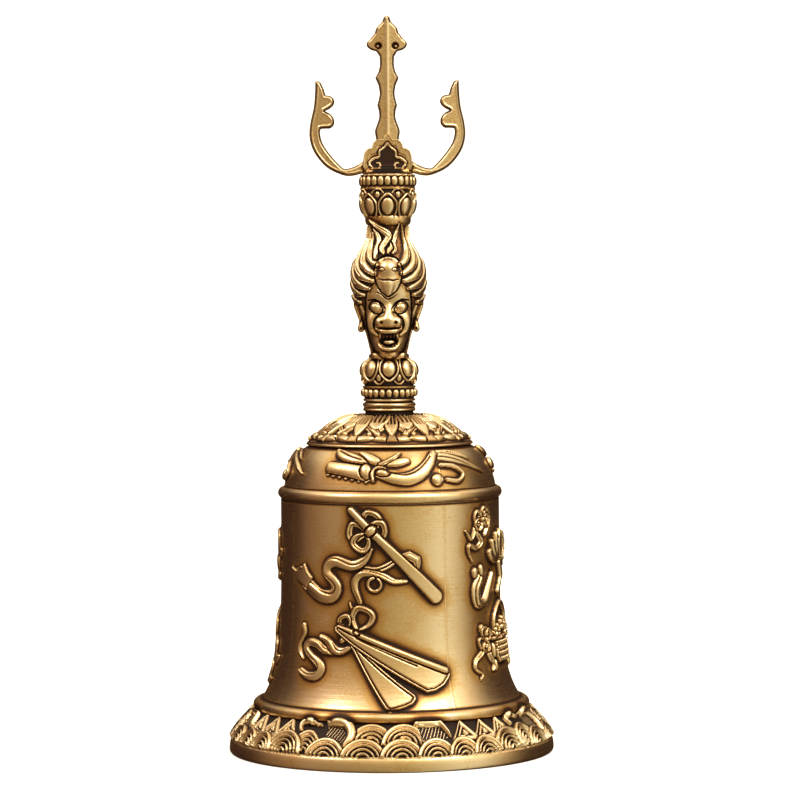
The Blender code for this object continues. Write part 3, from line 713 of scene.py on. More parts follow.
# ---------------------------------------------------------------- ornament of the shoulder
def shoulder_relief(length):
    """A rolled scroll, a winding ribbon and knots, three times round. Up is measured from the band."""
    canvas = Canvas(0, length, WAIST_RADIUS * 0.93, 0.17, halo=0.6)
    for angle in (0, 120, 240):
        streamer = [(13.2, 10.2), (17.5, 9.4), (22.0, 8.2), (27.0, 6.4), (31.0, 4.4)]
        canvas.lay(angle, ribbon(streamer, [1.3, 1.2, 1.0, 0.8, 0.3], 0.95, 0.8))
        thin = [(14.6, 11.4), (19.0, 11.2), (23.0, 10.2), (26.5, 8.6)]
        canvas.lay(angle, ribbon(thin, [0.4, 0.7, 0.6, 0.2], 0.8, 0.5))
        teeth = [(-18.4, 5.2)]
        for step in range(7):
            x, up = -17.2 + 1.9 * step, 3.9 - 0.3 * step
            teeth += [(x - 0.5, up), (x + 0.5, up + 0.9)]
        teeth += [(-4.6, 2.1), (-3.9, 4.2), (-7.0, 6.5)]
        canvas.lay(angle, plate(teeth, 0.8), bevel=0.25, moat=0.45)
        leaf = [(-10.2, 10.3), (-8.3, 11.7), (-4.8, 10.6), (-2.4, 8.7), (-3.8, 7.2), (-6.6, 8.4)]
        canvas.lay(angle, swollen(closed_curve(leaf), 1.1, 1.5), bevel=0.4, moat=0.4)
        wedge = [(-17.4, 12.4), (-15.9, 9.3), (-9.0, 7.2), (-6.0, 7.6), (-8.4, 10.0), (-13.0, 11.6)]
        canvas.lay(angle, swollen(closed_curve(wedge), 1.2, 1.6), bevel=0.4, moat=0.4)
        canvas.score(angle, [(-16.2, 11.6), (-12.0, 9.8), (-8.0, 8.6)], 0.4)
        scroll = cord([(-17.2, 6.5), (-12.0, 5.9), (-6.8, 5.0)], [1.7, 1.9, 2.1], 1.3)
        canvas.lay(angle, scroll, bevel=0.6, moat=0.5)
        canvas.lay(angle, dome((-6.4, 5.5), (1.7, 2.3), 1.35, 10), bevel=0.6, moat=0.25)
        rising = ribbon([(-2.8, 7.4), (0.4, 8.8), (3.4, 11.2)], [0.5, 0.8, 0.3], 0.9, 0.5)
        canvas.lay(angle, rising, moat=0.4)
        blunt = [(-0.9, 7.2), (2.4, 9.2), (5.0, 9.5), (6.0, 8.2), (4.2, 7.2), (1.4, 6.6)]
        canvas.lay(angle, swollen(closed_curve(blunt), 1.1, 1.0), bevel=0.4, moat=0.4)
        hoop = cord([(-4.3, 2.9), (-4.5, 4.8), (-3.2, 6.4), (-1.2, 6.2)], [0.5, 0.7, 0.6, 0.4], 1.2)
        canvas.lay(angle, hoop, moat=0.4)
        sweep = [(-2.8, 4.6), (1.0, 3.6), (5.0, 3.4), (8.6, 5.0), (11.6, 7.8), (13.6, 10.6)]
        canvas.lay(angle, cord(sweep, [1.0, 1.5, 1.85, 1.9, 1.6, 1.2], 1.2), bevel=0.6, moat=0.5)
        canvas.score(angle, [(0.4, 5.2), (4.4, 4.5), (8.0, 5.9), (12.0, 9.6)], 0.55, 0.2)
        canvas.lay(angle, dome((-1.9, 5.0), (1.9, 1.05), 1.35, -10), bevel=0.5, moat=0.35)
        loop = [(14.6, 7.0), (18.8, 6.5), (21.4, 4.3), (19.4, 2.5), (15.8, 2.9)]
        canvas.lay(angle, cord(loop, [0.6, 0.7, 0.75, 0.6], 1.2), bevel=0.35, moat=0.4)
        canvas.lay(angle, dome((13.0, 3.0), (1.8, 1.7), 1.3), bevel=0.6, moat=0.4)
    for seam in MOULD_SEAMS:
        canvas.lay(seam, cord([(0, -1), (0.1, 6), (0, length + 1)], 0.16, 0.06), moat=0.05, lift=0.6)
    return canvas


# ---------------------------------------------------------------- meshes
def finish_piece(name, mesh, material, body, *nodes):
    """Puts a mesh in the scene, in place of its CAD nodes and moving with its body."""
    mesh.materials.append(material)
    piece = bpy.data.objects.new(name, mesh)
    bpy.context.scene.collection.objects.link(piece)
    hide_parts(*nodes)
    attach(piece, body)
    return piece


def quads_mesh(name, points, quads, patina_and_painted_light, uv=None):
    """A smooth mesh from arrays in millimetres, with its patina, painted shade and painted highlights kept at
    each point.
    """
    mesh = bpy.data.meshes.new(name)
    mesh.vertices.add(len(points))
    mesh.vertices.foreach_set("co", (np.asarray(points, np.float32) * MM).ravel())
    mesh.loops.add(quads.size)
    mesh.loops.foreach_set("vertex_index", quads.astype(np.int32).ravel())
    mesh.polygons.add(len(quads))
    mesh.polygons.foreach_set("loop_start", np.arange(0, quads.size, 4, dtype=np.int32))
    mesh.update(calc_edges=True)
    mesh.shade_smooth()
    stain = mesh.attributes.new("patina_and_painted_light", "FLOAT", "POINT")
    stain.data.foreach_set("value", np.asarray(patina_and_painted_light, np.float32).ravel())
    if uv is not None:
        layer = mesh.uv_layers.new(name="rolled_out")
        layer.data.foreach_set("uv", np.asarray(uv, np.float32).ravel())
    mesh.validate()
    return mesh


def turned_mesh(name, profile, height, patina_and_painted_light):
    """A closed wall turned about Z. Heights, one row to a profile point, push it out along the normal."""
    profile = np.asarray(profile, float)
    ahead = np.roll(profile, -1, axis=0) - np.roll(profile, 1, axis=0)
    normal = np.stack([ahead[:, 1], -ahead[:, 0]], axis=1)
    normal /= np.hypot(*normal.T)[:, None]
    angles = np.radians(np.arange(height.shape[1]) / height.shape[1] * 360 - 180)
    r = profile[:, :1] + height * normal[:, :1]
    z = profile[:, 1:] + height * normal[:, 1:]
    points = np.stack([r * np.sin(angles), -r * np.cos(angles), z], axis=2).reshape(-1, 3)
    rows, columns = height.shape
    i, j = np.meshgrid(np.arange(rows), np.arange(columns), indexing="ij")
    here, above = i * columns, (i + 1) % rows * columns
    following = (j + 1) % columns
    quads = np.stack([here + j, here + following, above + following, above + j], axis=2).reshape(-1, 4)
    lengths = distances_along(profile)
    lengths = np.append(lengths, lengths[-1] + 1)
    u0, u1 = j / columns, (j + 1) / columns
    v0, v1 = lengths[i], lengths[i + 1]
    uv = np.stack([u0, v0, u1, v0, u1, v1, u0, v1], axis=2)
    return quads_mesh(name, points, quads, patina_and_painted_light, uv)


class Wall:
    """Collects a turned wall's profile, section by section, with the relief of each and its stain of patina
    and painted shade.
    """

    def __init__(self, columns=COLUMNS):
        self.columns = columns
        self.parts = []

    def plain(self, line, spacing, patina_and_painted_light=0.0):
        """A smooth section with an even stain: patina, with painted shade on faces that lie inside or under
        other parts.
        """
        line = resampled(line, spacing)
        zero = np.zeros((len(line), self.columns))
        self.parts.append((line, zero, zero + patina_and_painted_light))

    def relief(self, line, canvas, ground=0.0):
        """A section with one profile point to each row of the canvas."""
        fine = resampled(line, hypot(*(np.array(line[-1]) - line[0])) / 1000)
        line = spread(fine, len(canvas.up))
        bare = smooth_step((0.3 - canvas.height) / 0.3)
        stain = recesses(canvas) + ground * bare
        self.parts.append((line, canvas.height, stain))

    def crease(self, z, width=0.5, amount=0.9):
        """Darkens a narrow ring at a height of the last section: patina and a painted shade line where two
        parts of the profile meet.
        """
        line, height, stain = self.parts[-1]
        dark = amount * np.exp(-(((line[:, 1] - z) / width) ** 2))[:, None]
        self.parts[-1] = (line, height, np.maximum(stain, dark + 0 * stain))

    def mesh(self, name):
        """All sections joined into one closed wall, without the points that two of them share."""
        profile = np.vstack([line for line, _, _ in self.parts])
        height = np.vstack([height for _, height, _ in self.parts])
        patina_and_painted_light = np.vstack([stain for _, _, stain in self.parts])
        keep = np.ones(len(profile), bool)
        keep[1:] = steps_along(profile) > 0.01
        return turned_mesh(name, profile[keep], height[keep], patina_and_painted_light[keep])


def waist_profile(z):
    """The outer radius of the waist, which flares out towards the mouth."""
    return WAIST_RADIUS + FLARE * np.exp(-(z - WAIST_LOW_Z) / FLARE_LENGTH)


def clear_moulding(part):
    """The smooth torus above the wave band stays bright."""
    line, height, stain = part
    above = smooth_step((line[:, 1:] - (LOWER_BAND_Z - 1.2)) / 0.5)
    return line, height, stain - BLACKENED * above * smooth_step((0.3 - height) / 0.3)


def cup(material):
    """The cast cup: lip, wave band, waist with its emblems, shoulder, crown plate and hollow inside."""
    wall = Wall()
    rest_inner, rest_outer = (41.2, 0.0), (44.0, 0.0)
    lip_top, shoulder_top, crown_top = (44.0, LIP_HEIGHT), (23.2, 84.4), (BORE, 90.2)
    rounding = arc((44.0, 1.0), 1.0, -90, -20, 5)
    swell = bezier((MOUTH_RADIUS - 0.02, 1.0), (MOUTH_RADIUS, 2.4), (44.8, LIP_HEIGHT), lip_top, 8)
    wall.plain(np.vstack([[rest_inner, rest_outer], rounding, swell]), 0.4)
    sweep = bezier(lip_top, (43.0, 6.4), (40.2, 9.2), (37.5, LOWER_BAND_Z - 1.4), 14)
    torus = arc((36.8, LOWER_BAND_Z), 1.5, -62, 88, 12)
    band = np.vstack([sweep, torus])
    wall.relief(band, mouth_relief(steps_along(band).sum()), BLACKENED)
    wall.parts[-1] = clear_moulding(wall.parts[-1])
    heights = np.linspace(WAIST_LOW_Z, WAIST_TOP_Z, 40)
    waist = np.stack([waist_profile(heights), heights], axis=1)
    wall.relief(waist, waist_relief())
    # Patina and painted shade lines where the waist meets its two bands
    wall.crease(WAIST_LOW_Z, 0.35, 1.0)
    wall.crease(WAIST_TOP_Z, 0.35, 1.0)
    wall.plain(arc((29.4, UPPER_BAND_Z), 1.6, -75, 80, 14), 0.3)
    shoulder_foot = (29.3, UPPER_BAND_Z + BAND_HALF)
    shoulder = bezier(shoulder_foot, (28.3, 79.3), (25.8, 82.9), shoulder_top, 14)
    wall.relief(shoulder, shoulder_relief(steps_along(shoulder).sum()))
    wall.crease(shoulder_foot[1], 0.3, 0.9)
    wall.crease(shoulder_top[1], 0.3, 0.5)
    wall.plain(bezier(shoulder_top, (19.0, 86.4), (13.5, 89.6), crown_top, 6), 2.5, 0.6)
    inner_crown = [(BORE, CROWN_UNDER_Z), (14.0, 85.2), (21.0, 82.0), (25.6, 78.0), (27.6, 72.0)]
    wall.plain(inner_crown, 1.2, 0.55)
    depths = np.linspace(70, LOWER_BAND_Z, 20)
    wall.plain(np.stack([waist_profile(depths) - WALL, depths], axis=1), 1.2, 0.5)
    wall.plain([(35.5, 11.0), (38.2, 7.0), (40.6, 3.4), rest_inner], 1.0, 0.35)
    return finish_piece("cast_cup", wall.mesh("cast_cup"), material, "bell", "bell_body")


# ---------------------------------------------------------------- clay
class Clay:
    """A block of voxels that holds the distance to a surface, negative inside."""

    def __init__(self, low, high, step):
        self.low, self.step = np.array(low, float), step
        self.shape = np.round((np.array(high, float) - self.low) / step).astype(int) + 1
        self.values = np.full(self.shape, 4.0, np.float32)
        self.patina_wear_and_light_marks = []
        self.folded = False
        self.skin = None

    def region(self, low, high, margin=1.3):
        """The part of the block inside a box, with the coordinates of its voxels."""
        start = np.floor((np.array(low) - margin - self.low) / self.step).astype(int)
        stop = np.ceil((np.array(high) + margin - self.low) / self.step).astype(int) + 1
        start, stop = np.clip(start, 0, self.shape), np.clip(stop, 0, self.shape)
        axes = [self.low[k] + self.step * np.arange(start[k], stop[k]) for k in range(3)]
        return tuple(map(slice, start, stop)), np.meshgrid(*axes, indexing="ij", sparse=True)

    def add(self, lump, blend=0.2):
        """Joins a lump to the block, with a hollow corner as wide as the blend."""
        low, high, distance = lump
        index, spots = self.region(low, high)
        if self.values[index].size:
            self.values[index] = smooth_min(self.values[index], distance(*spots), blend)

    def carve(self, lump, blend=0.15):
        """Takes a lump away from the block."""
        low, high, distance = lump
        index, spots = self.region(low, high)
        if self.values[index].size:
            self.values[index] = -smooth_min(-self.values[index], distance(*spots), blend)

    def press(self, shape, height, bevel=0.25):
        """Raises a shape drawn in the XZ plane, or sinks it when the height is negative."""
        (left, right, bottom, top), draw = shape
        index, (x, _, z) = self.region((left, self.low[1], bottom), (right, 1e3, top), 0)
        if self.values[index].size:
            distance, _ = draw(*np.broadcast_arrays(x[:, 0, :], z[:, 0, :]))
            round_back = np.sqrt(1 - (1 - np.clip(-distance / bevel, 0, 1)) ** 2)
            self.values[index] -= (height * round_back).astype(np.float32)[:, None, :]

    def paint_patina_wear_and_light(self, shape, amount, spread=0.35):
        """Darkens the part of the surface that a shape in the XZ plane covers, and lightens it when the
        amount is negative. It lays patina, rubbed wear, painted shade and painted highlights.
        """
        self.patina_wear_and_light_marks.append((shape, amount, spread))

    def engrave(self, shape, depth, stain=0.7, spread=0.35):
        """Sinks a shape drawn in the XZ plane and darkens it."""
        self.press(shape, -depth)
        self.paint_patina_wear_and_light(shape, stain, spread)

    def wrap(self, canvas):
        """Lays the relief of a canvas on the surface, wrapped round the Z axis."""
        _, (x, y, z) = self.region(self.low, self.low + self.step * self.shape, 0)
        column = (np.arctan2(x, -y)[:, :, 0] / (2 * pi) + 0.5) * canvas.columns
        cell = np.floor(column).astype(int)
        share = (column - cell)[:, :, None]
        levels = np.interp(z[0, 0], canvas.up, np.arange(len(canvas.up)))
        floor_row = levels.astype(int)
        upper_row = np.minimum(floor_row + 1, len(canvas.up) - 1)
        rise = (levels - floor_row)[:, None]
        rows = (canvas.height[floor_row] * (1 - rise) + canvas.height[upper_row] * rise).T.astype(np.float32)
        height = rows[cell % canvas.columns] * (1 - share) + rows[(cell + 1) % canvas.columns] * share
        self.values -= height.astype(np.float32)
        self.skin = canvas

    def skin_patina_and_shade(self, points):
        """The patina and painted shade between the strands of the relief that is wrapped round the block."""
        x, y, z = points.T
        column = (np.arctan2(x, np.abs(y)) / (2 * pi) + 0.5) * self.skin.columns
        row = np.interp(z, self.skin.up, np.arange(len(self.skin.up)))
        return np.clip(recesses(self.skin), 0, 1)[row.astype(int), column.astype(int) % self.skin.columns]

    def mirror(self, axis):
        """Completes a block that ends on the plane through the origin with its mirror image."""
        self.folded = axis == 0
        flipped = np.flip(self.values, axis)
        if abs(self.low[axis]) < 1e-9:
            keep = [slice(None)] * 3
            keep[axis] = slice(0, -1)
            self.low[axis] = -self.step * (self.shape[axis] - 1)
            self.values = np.concatenate([flipped[tuple(keep)], self.values], axis)
        else:
            keep = [slice(None)] * 3
            keep[axis] = slice(1, None)
            self.values = np.concatenate([self.values, flipped[tuple(keep)]], axis)
        self.shape = np.array(self.values.shape)

    def sample(self, points):
        """The distance at any points, between the voxels round each."""
        at = np.clip((points - self.low) / self.step, 0, self.shape - 1.001)
        cell = at.astype(int)
        share = at - cell
        total = np.zeros(len(points))
        for corner in np.ndindex(2, 2, 2):
            weight = np.prod(np.where(corner, share, 1 - share), axis=1)
            total += weight * self.values[tuple((cell + corner).T)]
        return total

    def mesh(self, name, gain=1.0):
        """The surface as a mesh, with patina and painted shade where it is closely surrounded, and the marks
        laid on it: patina, rubbed wear, painted shade and painted highlights.
        """
        grid = openvdb.FloatGrid(4.0)
        grid.copyFromArray(np.ascontiguousarray(self.values))
        points, quads = grid.convertToQuads(isovalue=0.0)
        points = points.astype(float) * self.step + self.low
        a, b, c = (points[quads[:, k]] for k in range(3))
        if np.einsum("ij,ij->", a, np.cross(b, c)) < 0:
            quads = quads[:, ::-1]
        slope = np.zeros_like(points)
        for k in range(3):
            nudge = np.zeros(3)
            nudge[k] = self.step
            slope[:, k] = self.sample(points + nudge) - self.sample(points - nudge)
        slope /= np.linalg.norm(slope, axis=1)[:, None] + 1e-9
        shade = sum((1 - self.sample(points + slope * reach) / reach) * weight for reach, weight in REACHES)
        shade *= gain
        if self.skin is not None:
            shade += 0.6 * self.skin_patina_and_shade(points)
        for ((left, right, bottom, top), draw), amount, spread in self.patina_wear_and_light_marks:
            x, z = np.abs(points[:, 0]) if self.folded else points[:, 0], points[:, 2]
            under = np.flatnonzero((x > left) & (x < right) & (z > bottom) & (z < top))
            distance, _ = draw(x[under], z[under])
            shade[under] += amount * smooth_step(0.5 - distance / spread)
        return quads_mesh(name, points, quads, np.clip(shade, -0.2, 1))


def smooth_min(a, b, blend):
    """The smaller of two distances, with a smooth passage where they are nearly the same."""
    share = np.clip(0.5 + 0.5 * (a - b) / blend, 0, 1)
    return a + (b - a) * share - blend * share * (1 - share)


def oval(centre, radii, turn=0.0):
    """An ellipsoid, turned by an angle in the XZ plane."""
    cosine, sine = cos(radians(turn)), sin(radians(turn))
    centre, radii = np.array(centre, float), np.array(radii, float)
    reach = np.array([max(radii[0], radii[2]), radii[1], max(radii[0], radii[2])])

    def distance(x, y, z):
        dx, dy, dz = x - centre[0], y - centre[1], z - centre[2]
        px, pz = dx * cosine + dz * sine, dz * cosine - dx * sine
        a, b, c = radii
        near = np.sqrt((px / a) ** 2 + (dy / b) ** 2 + (pz / c) ** 2)
        slope = np.sqrt((px / a**2) ** 2 + (dy / b**2) ** 2 + (pz / c**2) ** 2)
        return near * (near - 1) / (slope + 1e-6)

    return centre - reach, centre + reach, distance


def strand(points, radii, steps=6):
    """A round strand along a smooth curve, tapering by its list of radii."""
    line = smooth_curve(points, steps)
    size = np.interp(np.linspace(0, 1, len(line)), np.linspace(0, 1, len(radii)), radii)

    def distance(x, y, z):
        best = None
        for a, b, ra, rb in zip(line, line[1:], size, size[1:]):
            d = b - a
            px, py, pz = x - a[0], y - a[1], z - a[2]
            t = np.clip((px * d[0] + py * d[1] + pz * d[2]) / (d @ d + 1e-9), 0, 1)
            gap = np.sqrt((px - t * d[0]) ** 2 + (py - t * d[1]) ** 2 + (pz - t * d[2]) ** 2)
            gap -= ra + t * (rb - ra)
            best = gap if best is None else np.minimum(best, gap)
        return best

    return line.min(axis=0) - max(radii), line.max(axis=0) + max(radii), distance


def turned_lump(outline):
    """A solid turned about Z from (radius, z) points, lowest first."""
    outline = np.array(outline, float)
    closed = np.vstack([(-1.0, outline[0, 1]), outline, (-1.0, outline[-1, 1])])
    top = outline[:, 0].max()

    def distance(x, y, z):
        r, z = np.broadcast_arrays(np.sqrt(x * x + y * y), z)
        fine = np.linspace(0, top + 3, 160)
        levels = z[0, 0, :]
        table = polygon_distance(closed, *np.meshgrid(fine, levels, indexing="ij"))
        at = np.clip(r[:, :, 0] / fine[1], 0, len(fine) - 1.001)
        cell = at.astype(int)
        share = (at - cell)[:, :, None]
        return table[cell] * (1 - share) + table[cell + 1] * share

    low, high = outline[:, 1].min(), outline[:, 1].max()
    return np.array([-top, -top, low]), np.array([top, top, high]), distance


# ---------------------------------------------------------------- crown and lotus rings
def dome_relief(length):
    """Petals on the lotus cap in twelve sectors, with small leaves and cushions below them."""
    canvas = Canvas(0, length, 16.0, 0.13, halo=0.2)
    right = [(2.6, 8.9), (4.1, 11.6), (4.2, 16.6), (2.2, 17.6)]
    wide = closed_curve([(0, 6.4), *right, *on_side(-1, reversed(right))])
    right = [(1.3, 6.0), (2.0, 8.8), (1.9, 11.6), (1.1, 14.0)]
    small = closed_curve([(0, 3.4), *right, *on_side(-1, reversed(right))])
    buds = [2 + 30 * sector for sector in range(12)]
    for bud in buds:
        for side in (-1, 1):
            cushion = dome((side * 2.4, 2.3), (2.5, 1.2), 1.15, side * 14)
            canvas.lay(bud, cushion, bevel=0.4, moat=0.3)
            blade = on_side(side, [(1.0, 9.0), (2.8, 7.4), (5.0, 4.6)])
            canvas.lay(bud, cord(blade, [1.2, 1.5, 0.9], 1.1), bevel=0.3, moat=0.3)
            for shift in (-0.5, 0.45):
                vein = [(x + shift * side, up + shift) for x, up in blade]
                canvas.cut(bud, cord(vein, 0.03), 0.55, 0.16)
        canvas.lay(bud, plate([(-0.5, 5.0), (0.5, 5.0), (1.2, 0.4), (-1.2, 0.4)], 0.9), bevel=0.3)
    for bud in buds:
        leaf = bud + 15
        canvas.lay(leaf, swollen(wide, 0.95, 0.9), bevel=0.25, moat=0.4)
        for x in (-2.5, -0.85, 0.85, 2.5):
            vein = cord([(x * 1.2, 15.5), (x * 0.75, 9.6)], [0.36, 0.05], smooth=False)
            canvas.cut(leaf, vein, 1.1, 0.2)
        canvas.lay(bud, swollen(small, 1.15, 0.8), bevel=0.25, moat=0.45)
        for x in (-0.95, 0, 0.95):
            vein = cord([(x * 1.2, 13.6), (x, 8.4)], [0.24, 0.04], smooth=False)
            canvas.cut(bud, vein, 1.1, 0.17)
    return canvas


def spigot(wall, radius, z, shoulder):
    """Ends a piece at its top: the flat, then a low shoulder that the next piece is clamped on."""
    top = z + CLAMP_GAP
    wall.plain([(radius, z), (shoulder, z), (shoulder, top), (BORE, top)], 0.8, 0.85)


def lotus_dome(material):
    """The low dome of petals on the crown, with a thin raised edge."""
    wall = Wall()
    wall.plain(arc((22.8, 85.35), 0.3, -110, 70, 6), 0.2)
    face = [(22.7, 85.9), (20.3, 87.25), (18.5, 88.3), (17.0, 89.5), (15.0, 90.8), (12.8, 91.9), (9.8, 92.5)]
    face = smooth_curve(face)
    wall.relief(face, dome_relief(steps_along(face).sum()), 0.12)
    # Painted shadow line under the dome's raised edge, with patina
    wall.crease(86.0, 0.25, 0.6)
    spigot(wall, 9.2, CAP_TOP_Z, 6.4)
    under = bezier((BORE, 90.5), (13.5, 89.9), (19.0, 86.7), (22.7, 85.05), 8)
    wall.plain(under, 2.0, 0.8)
    return finish_piece("lotus_dome", wall.mesh("lotus_dome"), material, "bell", "lotus_cap")


def collar(material):
    """The plain stepped ring between the dome and the handle."""
    wall = Wall(360)
    low, high = COLLAR_LOW_Z, COLLAR_TOP_Z
    wall.plain([(BORE, low), (6.7, low)], 1.0, 0.9)
    wall.plain([(6.7, low), (6.65, low + 0.9)], 0.15, 0.95)
    band = np.vstack([[(6.9, low + 1.0)], arc((6.95, low + 1.45), 0.35, -80, 60, 6)])
    band = np.vstack([band, [(7.0, low + 2.0)], arc((6.75, high - 0.75), 0.6, -40, 80, 8)])
    wall.plain(band, 0.1)
    wall.crease(low + 1.0, 0.2, 0.8)
    wall.crease(low + 1.95, 0.16, 0.9)
    spigot(wall, 6.7, high, 6.5)
    return finish_piece("handle_collar", wall.mesh("handle_collar"), material, "bell", "base_collar")


def petal_ring(canvas, root, tip, back_tip, boss_up, boss_size):
    """Eight petals, each a swollen boss in a raised rim, and the tips of eight more behind them."""
    way = 1 if tip > root else -1
    for step in range(8):
        between = 45 * (step + 0.5)
        edge = [(2.5, back_tip - way * 3.0), (1.5, back_tip - way * 1.0), (0, back_tip)]
        edge += on_side(-1, reversed(edge[:-1]))
        canvas.lay(between, plate(edge, 0.25), bevel=0.25, moat=0.3)
        canvas.lay(between, cord(edge, [0.26, 0.3, 0.34, 0.3, 0.26], 0.7), bevel=0.25, moat=0.3)
        canvas.lay(between, dome((0, back_tip - way * 1.7), (0.75, 1.0), 0.75), bevel=0.3, moat=0.25)
    for step in range(8):
        angle = 45 * step
        rim = [(2.1, root), (2.65, root + way * 1.6), (2.5, root + way * 3.4)]
        rim += [(1.4, tip - way * 0.8), (0, tip)]
        rim += on_side(-1, reversed(rim[:-1]))
        canvas.lay(angle, plate(rim, 0.2), bevel=0.2, moat=0.3)
        canvas.lay(angle, cord(rim, [0.32, 0.34, 0.42, 0.34, 0.32], 0.85), bevel=0.25, moat=0.3)
        canvas.lay(angle, dome((0, boss_up), boss_size, 1.15), bevel=0.5, moat=0.3)


def lotus_seat(material):
    """The bead ring and the petals turned down over it."""
    low, high = SEAT_LOW_Z, SEAT_TOP_Z
    canvas = Canvas(low, high, SEAT_RADIUS, 0.09, SEAT_COLUMNS)
    canvas.ring(low + 0.25, 0.28, 0.4)
    canvas.ring(low + 3.6, 0.32, 0.6)
    for step in range(24):
        canvas.lay(15 * step, dome((0, low + 2.1), (0.92, 1.12), 1.0), bevel=0.4, moat=0.2)
    petal_ring(canvas, high, low + 5.4, low + 4.5, low + 8.6, (1.95, 2.25))
    wall = Wall(SEAT_COLUMNS)
    wall.plain([(BORE, low), (6.8, low)], 1.0, 0.8)
    face = [(6.85, low), (6.95, low + 3.2), (6.75, low + 4.0), (6.9, low + 5.2)]
    face += [(7.15, low + 8.0), (6.5, low + 9.9), (5.4, high)]
    wall.relief(smooth_curve(face), canvas, 0.05)
    wall.crease(low + 4.3, 0.4, 0.9)
    spigot(wall, 5.2, high, 5.0)
    return finish_piece("lotus_seat", wall.mesh("lotus_seat"), material, "bell", "lower_lotus_seat")


def lotus_cup(material):
    """Petals turned up, under a smooth moulding and a ring of gadroons."""
    low, high = CUP_LOW_Z, CUP_TOP_Z
    canvas = Canvas(low, high, SEAT_RADIUS, 0.09, SEAT_COLUMNS)
    petal_ring(canvas, low + 0.1, low + 5.7, low + 7.3, low + 2.6, (1.95, 2.35))
    canvas.ring(low + 7.5, 0.5, 0.5)
    for step in range(24):
        canvas.lay(15 * step, dome((0, high - 1.75), (0.95, 1.4), 0.75), bevel=0.4, moat=0.15)
    canvas.ring(high - 0.3, 0.3, 0.75)
    wall = Wall(SEAT_COLUMNS)
    wall.plain([(BORE, low), (6.0, low)], 1.0, 0.8)
    face = [(6.1, low), (6.5, low + 1.2), (6.95, low + 3.4), (7.15, low + 5.4), (6.95, low + 7.0)]
    face += [(7.2, low + 8.2), (7.2, high - 0.9), (6.6, high)]
    wall.relief(smooth_curve(face), canvas, 0.05)
    wall.crease(low + 8.1, 0.25, 0.8)
    spigot(wall, 6.4, high, 6.2)
    return finish_piece("lotus_cup", wall.mesh("lotus_cup"), material, "bell", "upper_lotus_cup")


# ---------------------------------------------------------------- grip
# Heights are the bell's own Z: chin 110, mouth 114, nose 119, eyes 123, brow 127, the small head 126 to 137,
# tips of the flames 146. The face looks along -Y.
def lock(canvas, points, widths, height=1.0):
    """A lock of hair or a flame through (angle, z) points, with a groove on its right."""
    line = [(HAIR_RADIUS * radians(angle), z) for angle, z in points]
    canvas.lay(0, cord(line, widths, 1.1 * height), bevel=0.5, moat=0.42)
    inner = [(x + 0.32 * max(widths), z) for x, z in line[:-1]]
    canvas.cut(0, cord(inner, 0.02), 0.22, 0.16)


def hair_relief():
    """Locks that sweep out from the mask, round the head and up to the neck as flames."""
    canvas = Canvas(GRIP_LOW_Z, GRIP_TOP_Z, HAIR_RADIUS, 0.12, HAIR_COLUMNS)
    for side in (1, -1):
        for angle in (62, 76, 90):
            points = [(angle, 112.0), (angle + 3, 116.0), (angle - 2, 120.0), (angle + 2, 124.5)]
            lock(canvas, on_side(side, points), [0.6, 0.9, 1.05, 0.8], 0.6)
        locks = (
            ([(90, 126.0), (72, 124.6), (58, 124.4)], [0.7, 1.0, 0.7]),
            ([(94, 130.5), (80, 128.6), (62, 126.9), (46, 126.4)], [0.6, 1.1, 1.2, 0.7]),
            ([(96, 139.5), (90, 135.5), (78, 132.2), (60, 129.6), (36, 128.2)], [0.3, 0.9, 1.35, 1.35, 0.8]),
            ([(84, 145.2), (80, 141.5), (74, 137.6), (66, 134.2), (50, 131.8), (27, 130.2)],
             [0.25, 0.9, 1.2, 1.35, 1.3, 0.8]),
            ([(62, 145.4), (64, 141.8), (60, 138.2), (48, 135.0), (24, 132.2)], [0.25, 0.95, 1.2, 1.2, 0.8]),
            ([(40, 145.6), (46, 142.2), (46, 139.4), (36, 136.8), (20, 134.6)], [0.25, 0.85, 1.1, 1.1, 0.7]),
        )
        for points, widths in locks:
            lock(canvas, on_side(side, points), widths)
    right = [(9, 137.9), (14, 139.0), (12, 140.8), (22, 143.0), (30, 145.8)]
    lock(canvas, right, [0.6, 1.0, 1.2, 1.0, 0.3], 1.1)
    lock(canvas, [(0, 138.0), (2, 138.8), (7, 139.6), (4, 141.2)], [0.6, 0.85, 0.8, 0.2], 1.0)
    left = [(-24, 136.6), (-26, 138.8), (-24, 141.2), (-34, 143.4), (-50, 146.0)]
    lock(canvas, left, [0.6, 1.1, 1.3, 1.1, 0.3], 1.1)
    big = [(-9, 137.9), (-14, 139.4), (-3, 141.6), (2, 142.8), (-20, 144.4), (-42, 145.8), (-58, 147.2)]
    lock(canvas, big, [0.7, 1.1, 1.25, 1.35, 1.1, 0.8, 0.2], 1.25)
    return canvas


def mask_eyes(clay, side):
    """A cheek, a round eye in its socket with lids, and the frown over it."""
    clay.add(oval((side * 4.1, -5.7, 118.9), (2.3, 2.4, 3.2)), 1.2)
    clay.carve(oval((side * 3.4, -9.6, 122.9), (2.1, 1.6, 1.45), side * 10), 0.7)
    clay.add(oval((side * 3.4, -7.45, 122.9), (1.65, 1.5, 1.35), side * 8), 0.05)
    lids = [(1.5, 122.4), (2.6, 124.3), (4.5, 124.4), (5.3, 122.9), (3.9, 121.3), (2.2, 121.3), (1.5, 122.4)]
    clay.engrave(cord(on_side(side, lids), 0.2), 0.4)
    # Painted highlight on the eyeball
    clay.paint_patina_wear_and_light(dome((side * 3.4, 122.9), (1.4, 1.1)), -0.5)
    frown = [(0.9, 122.5), (1.8, 123.9), (3.6, 124.9), (5.5, 124.9)]
    clay.engrave(cord(on_side(side, frown), [0.12, 0.32, 0.36, 0.16]), 0.7)


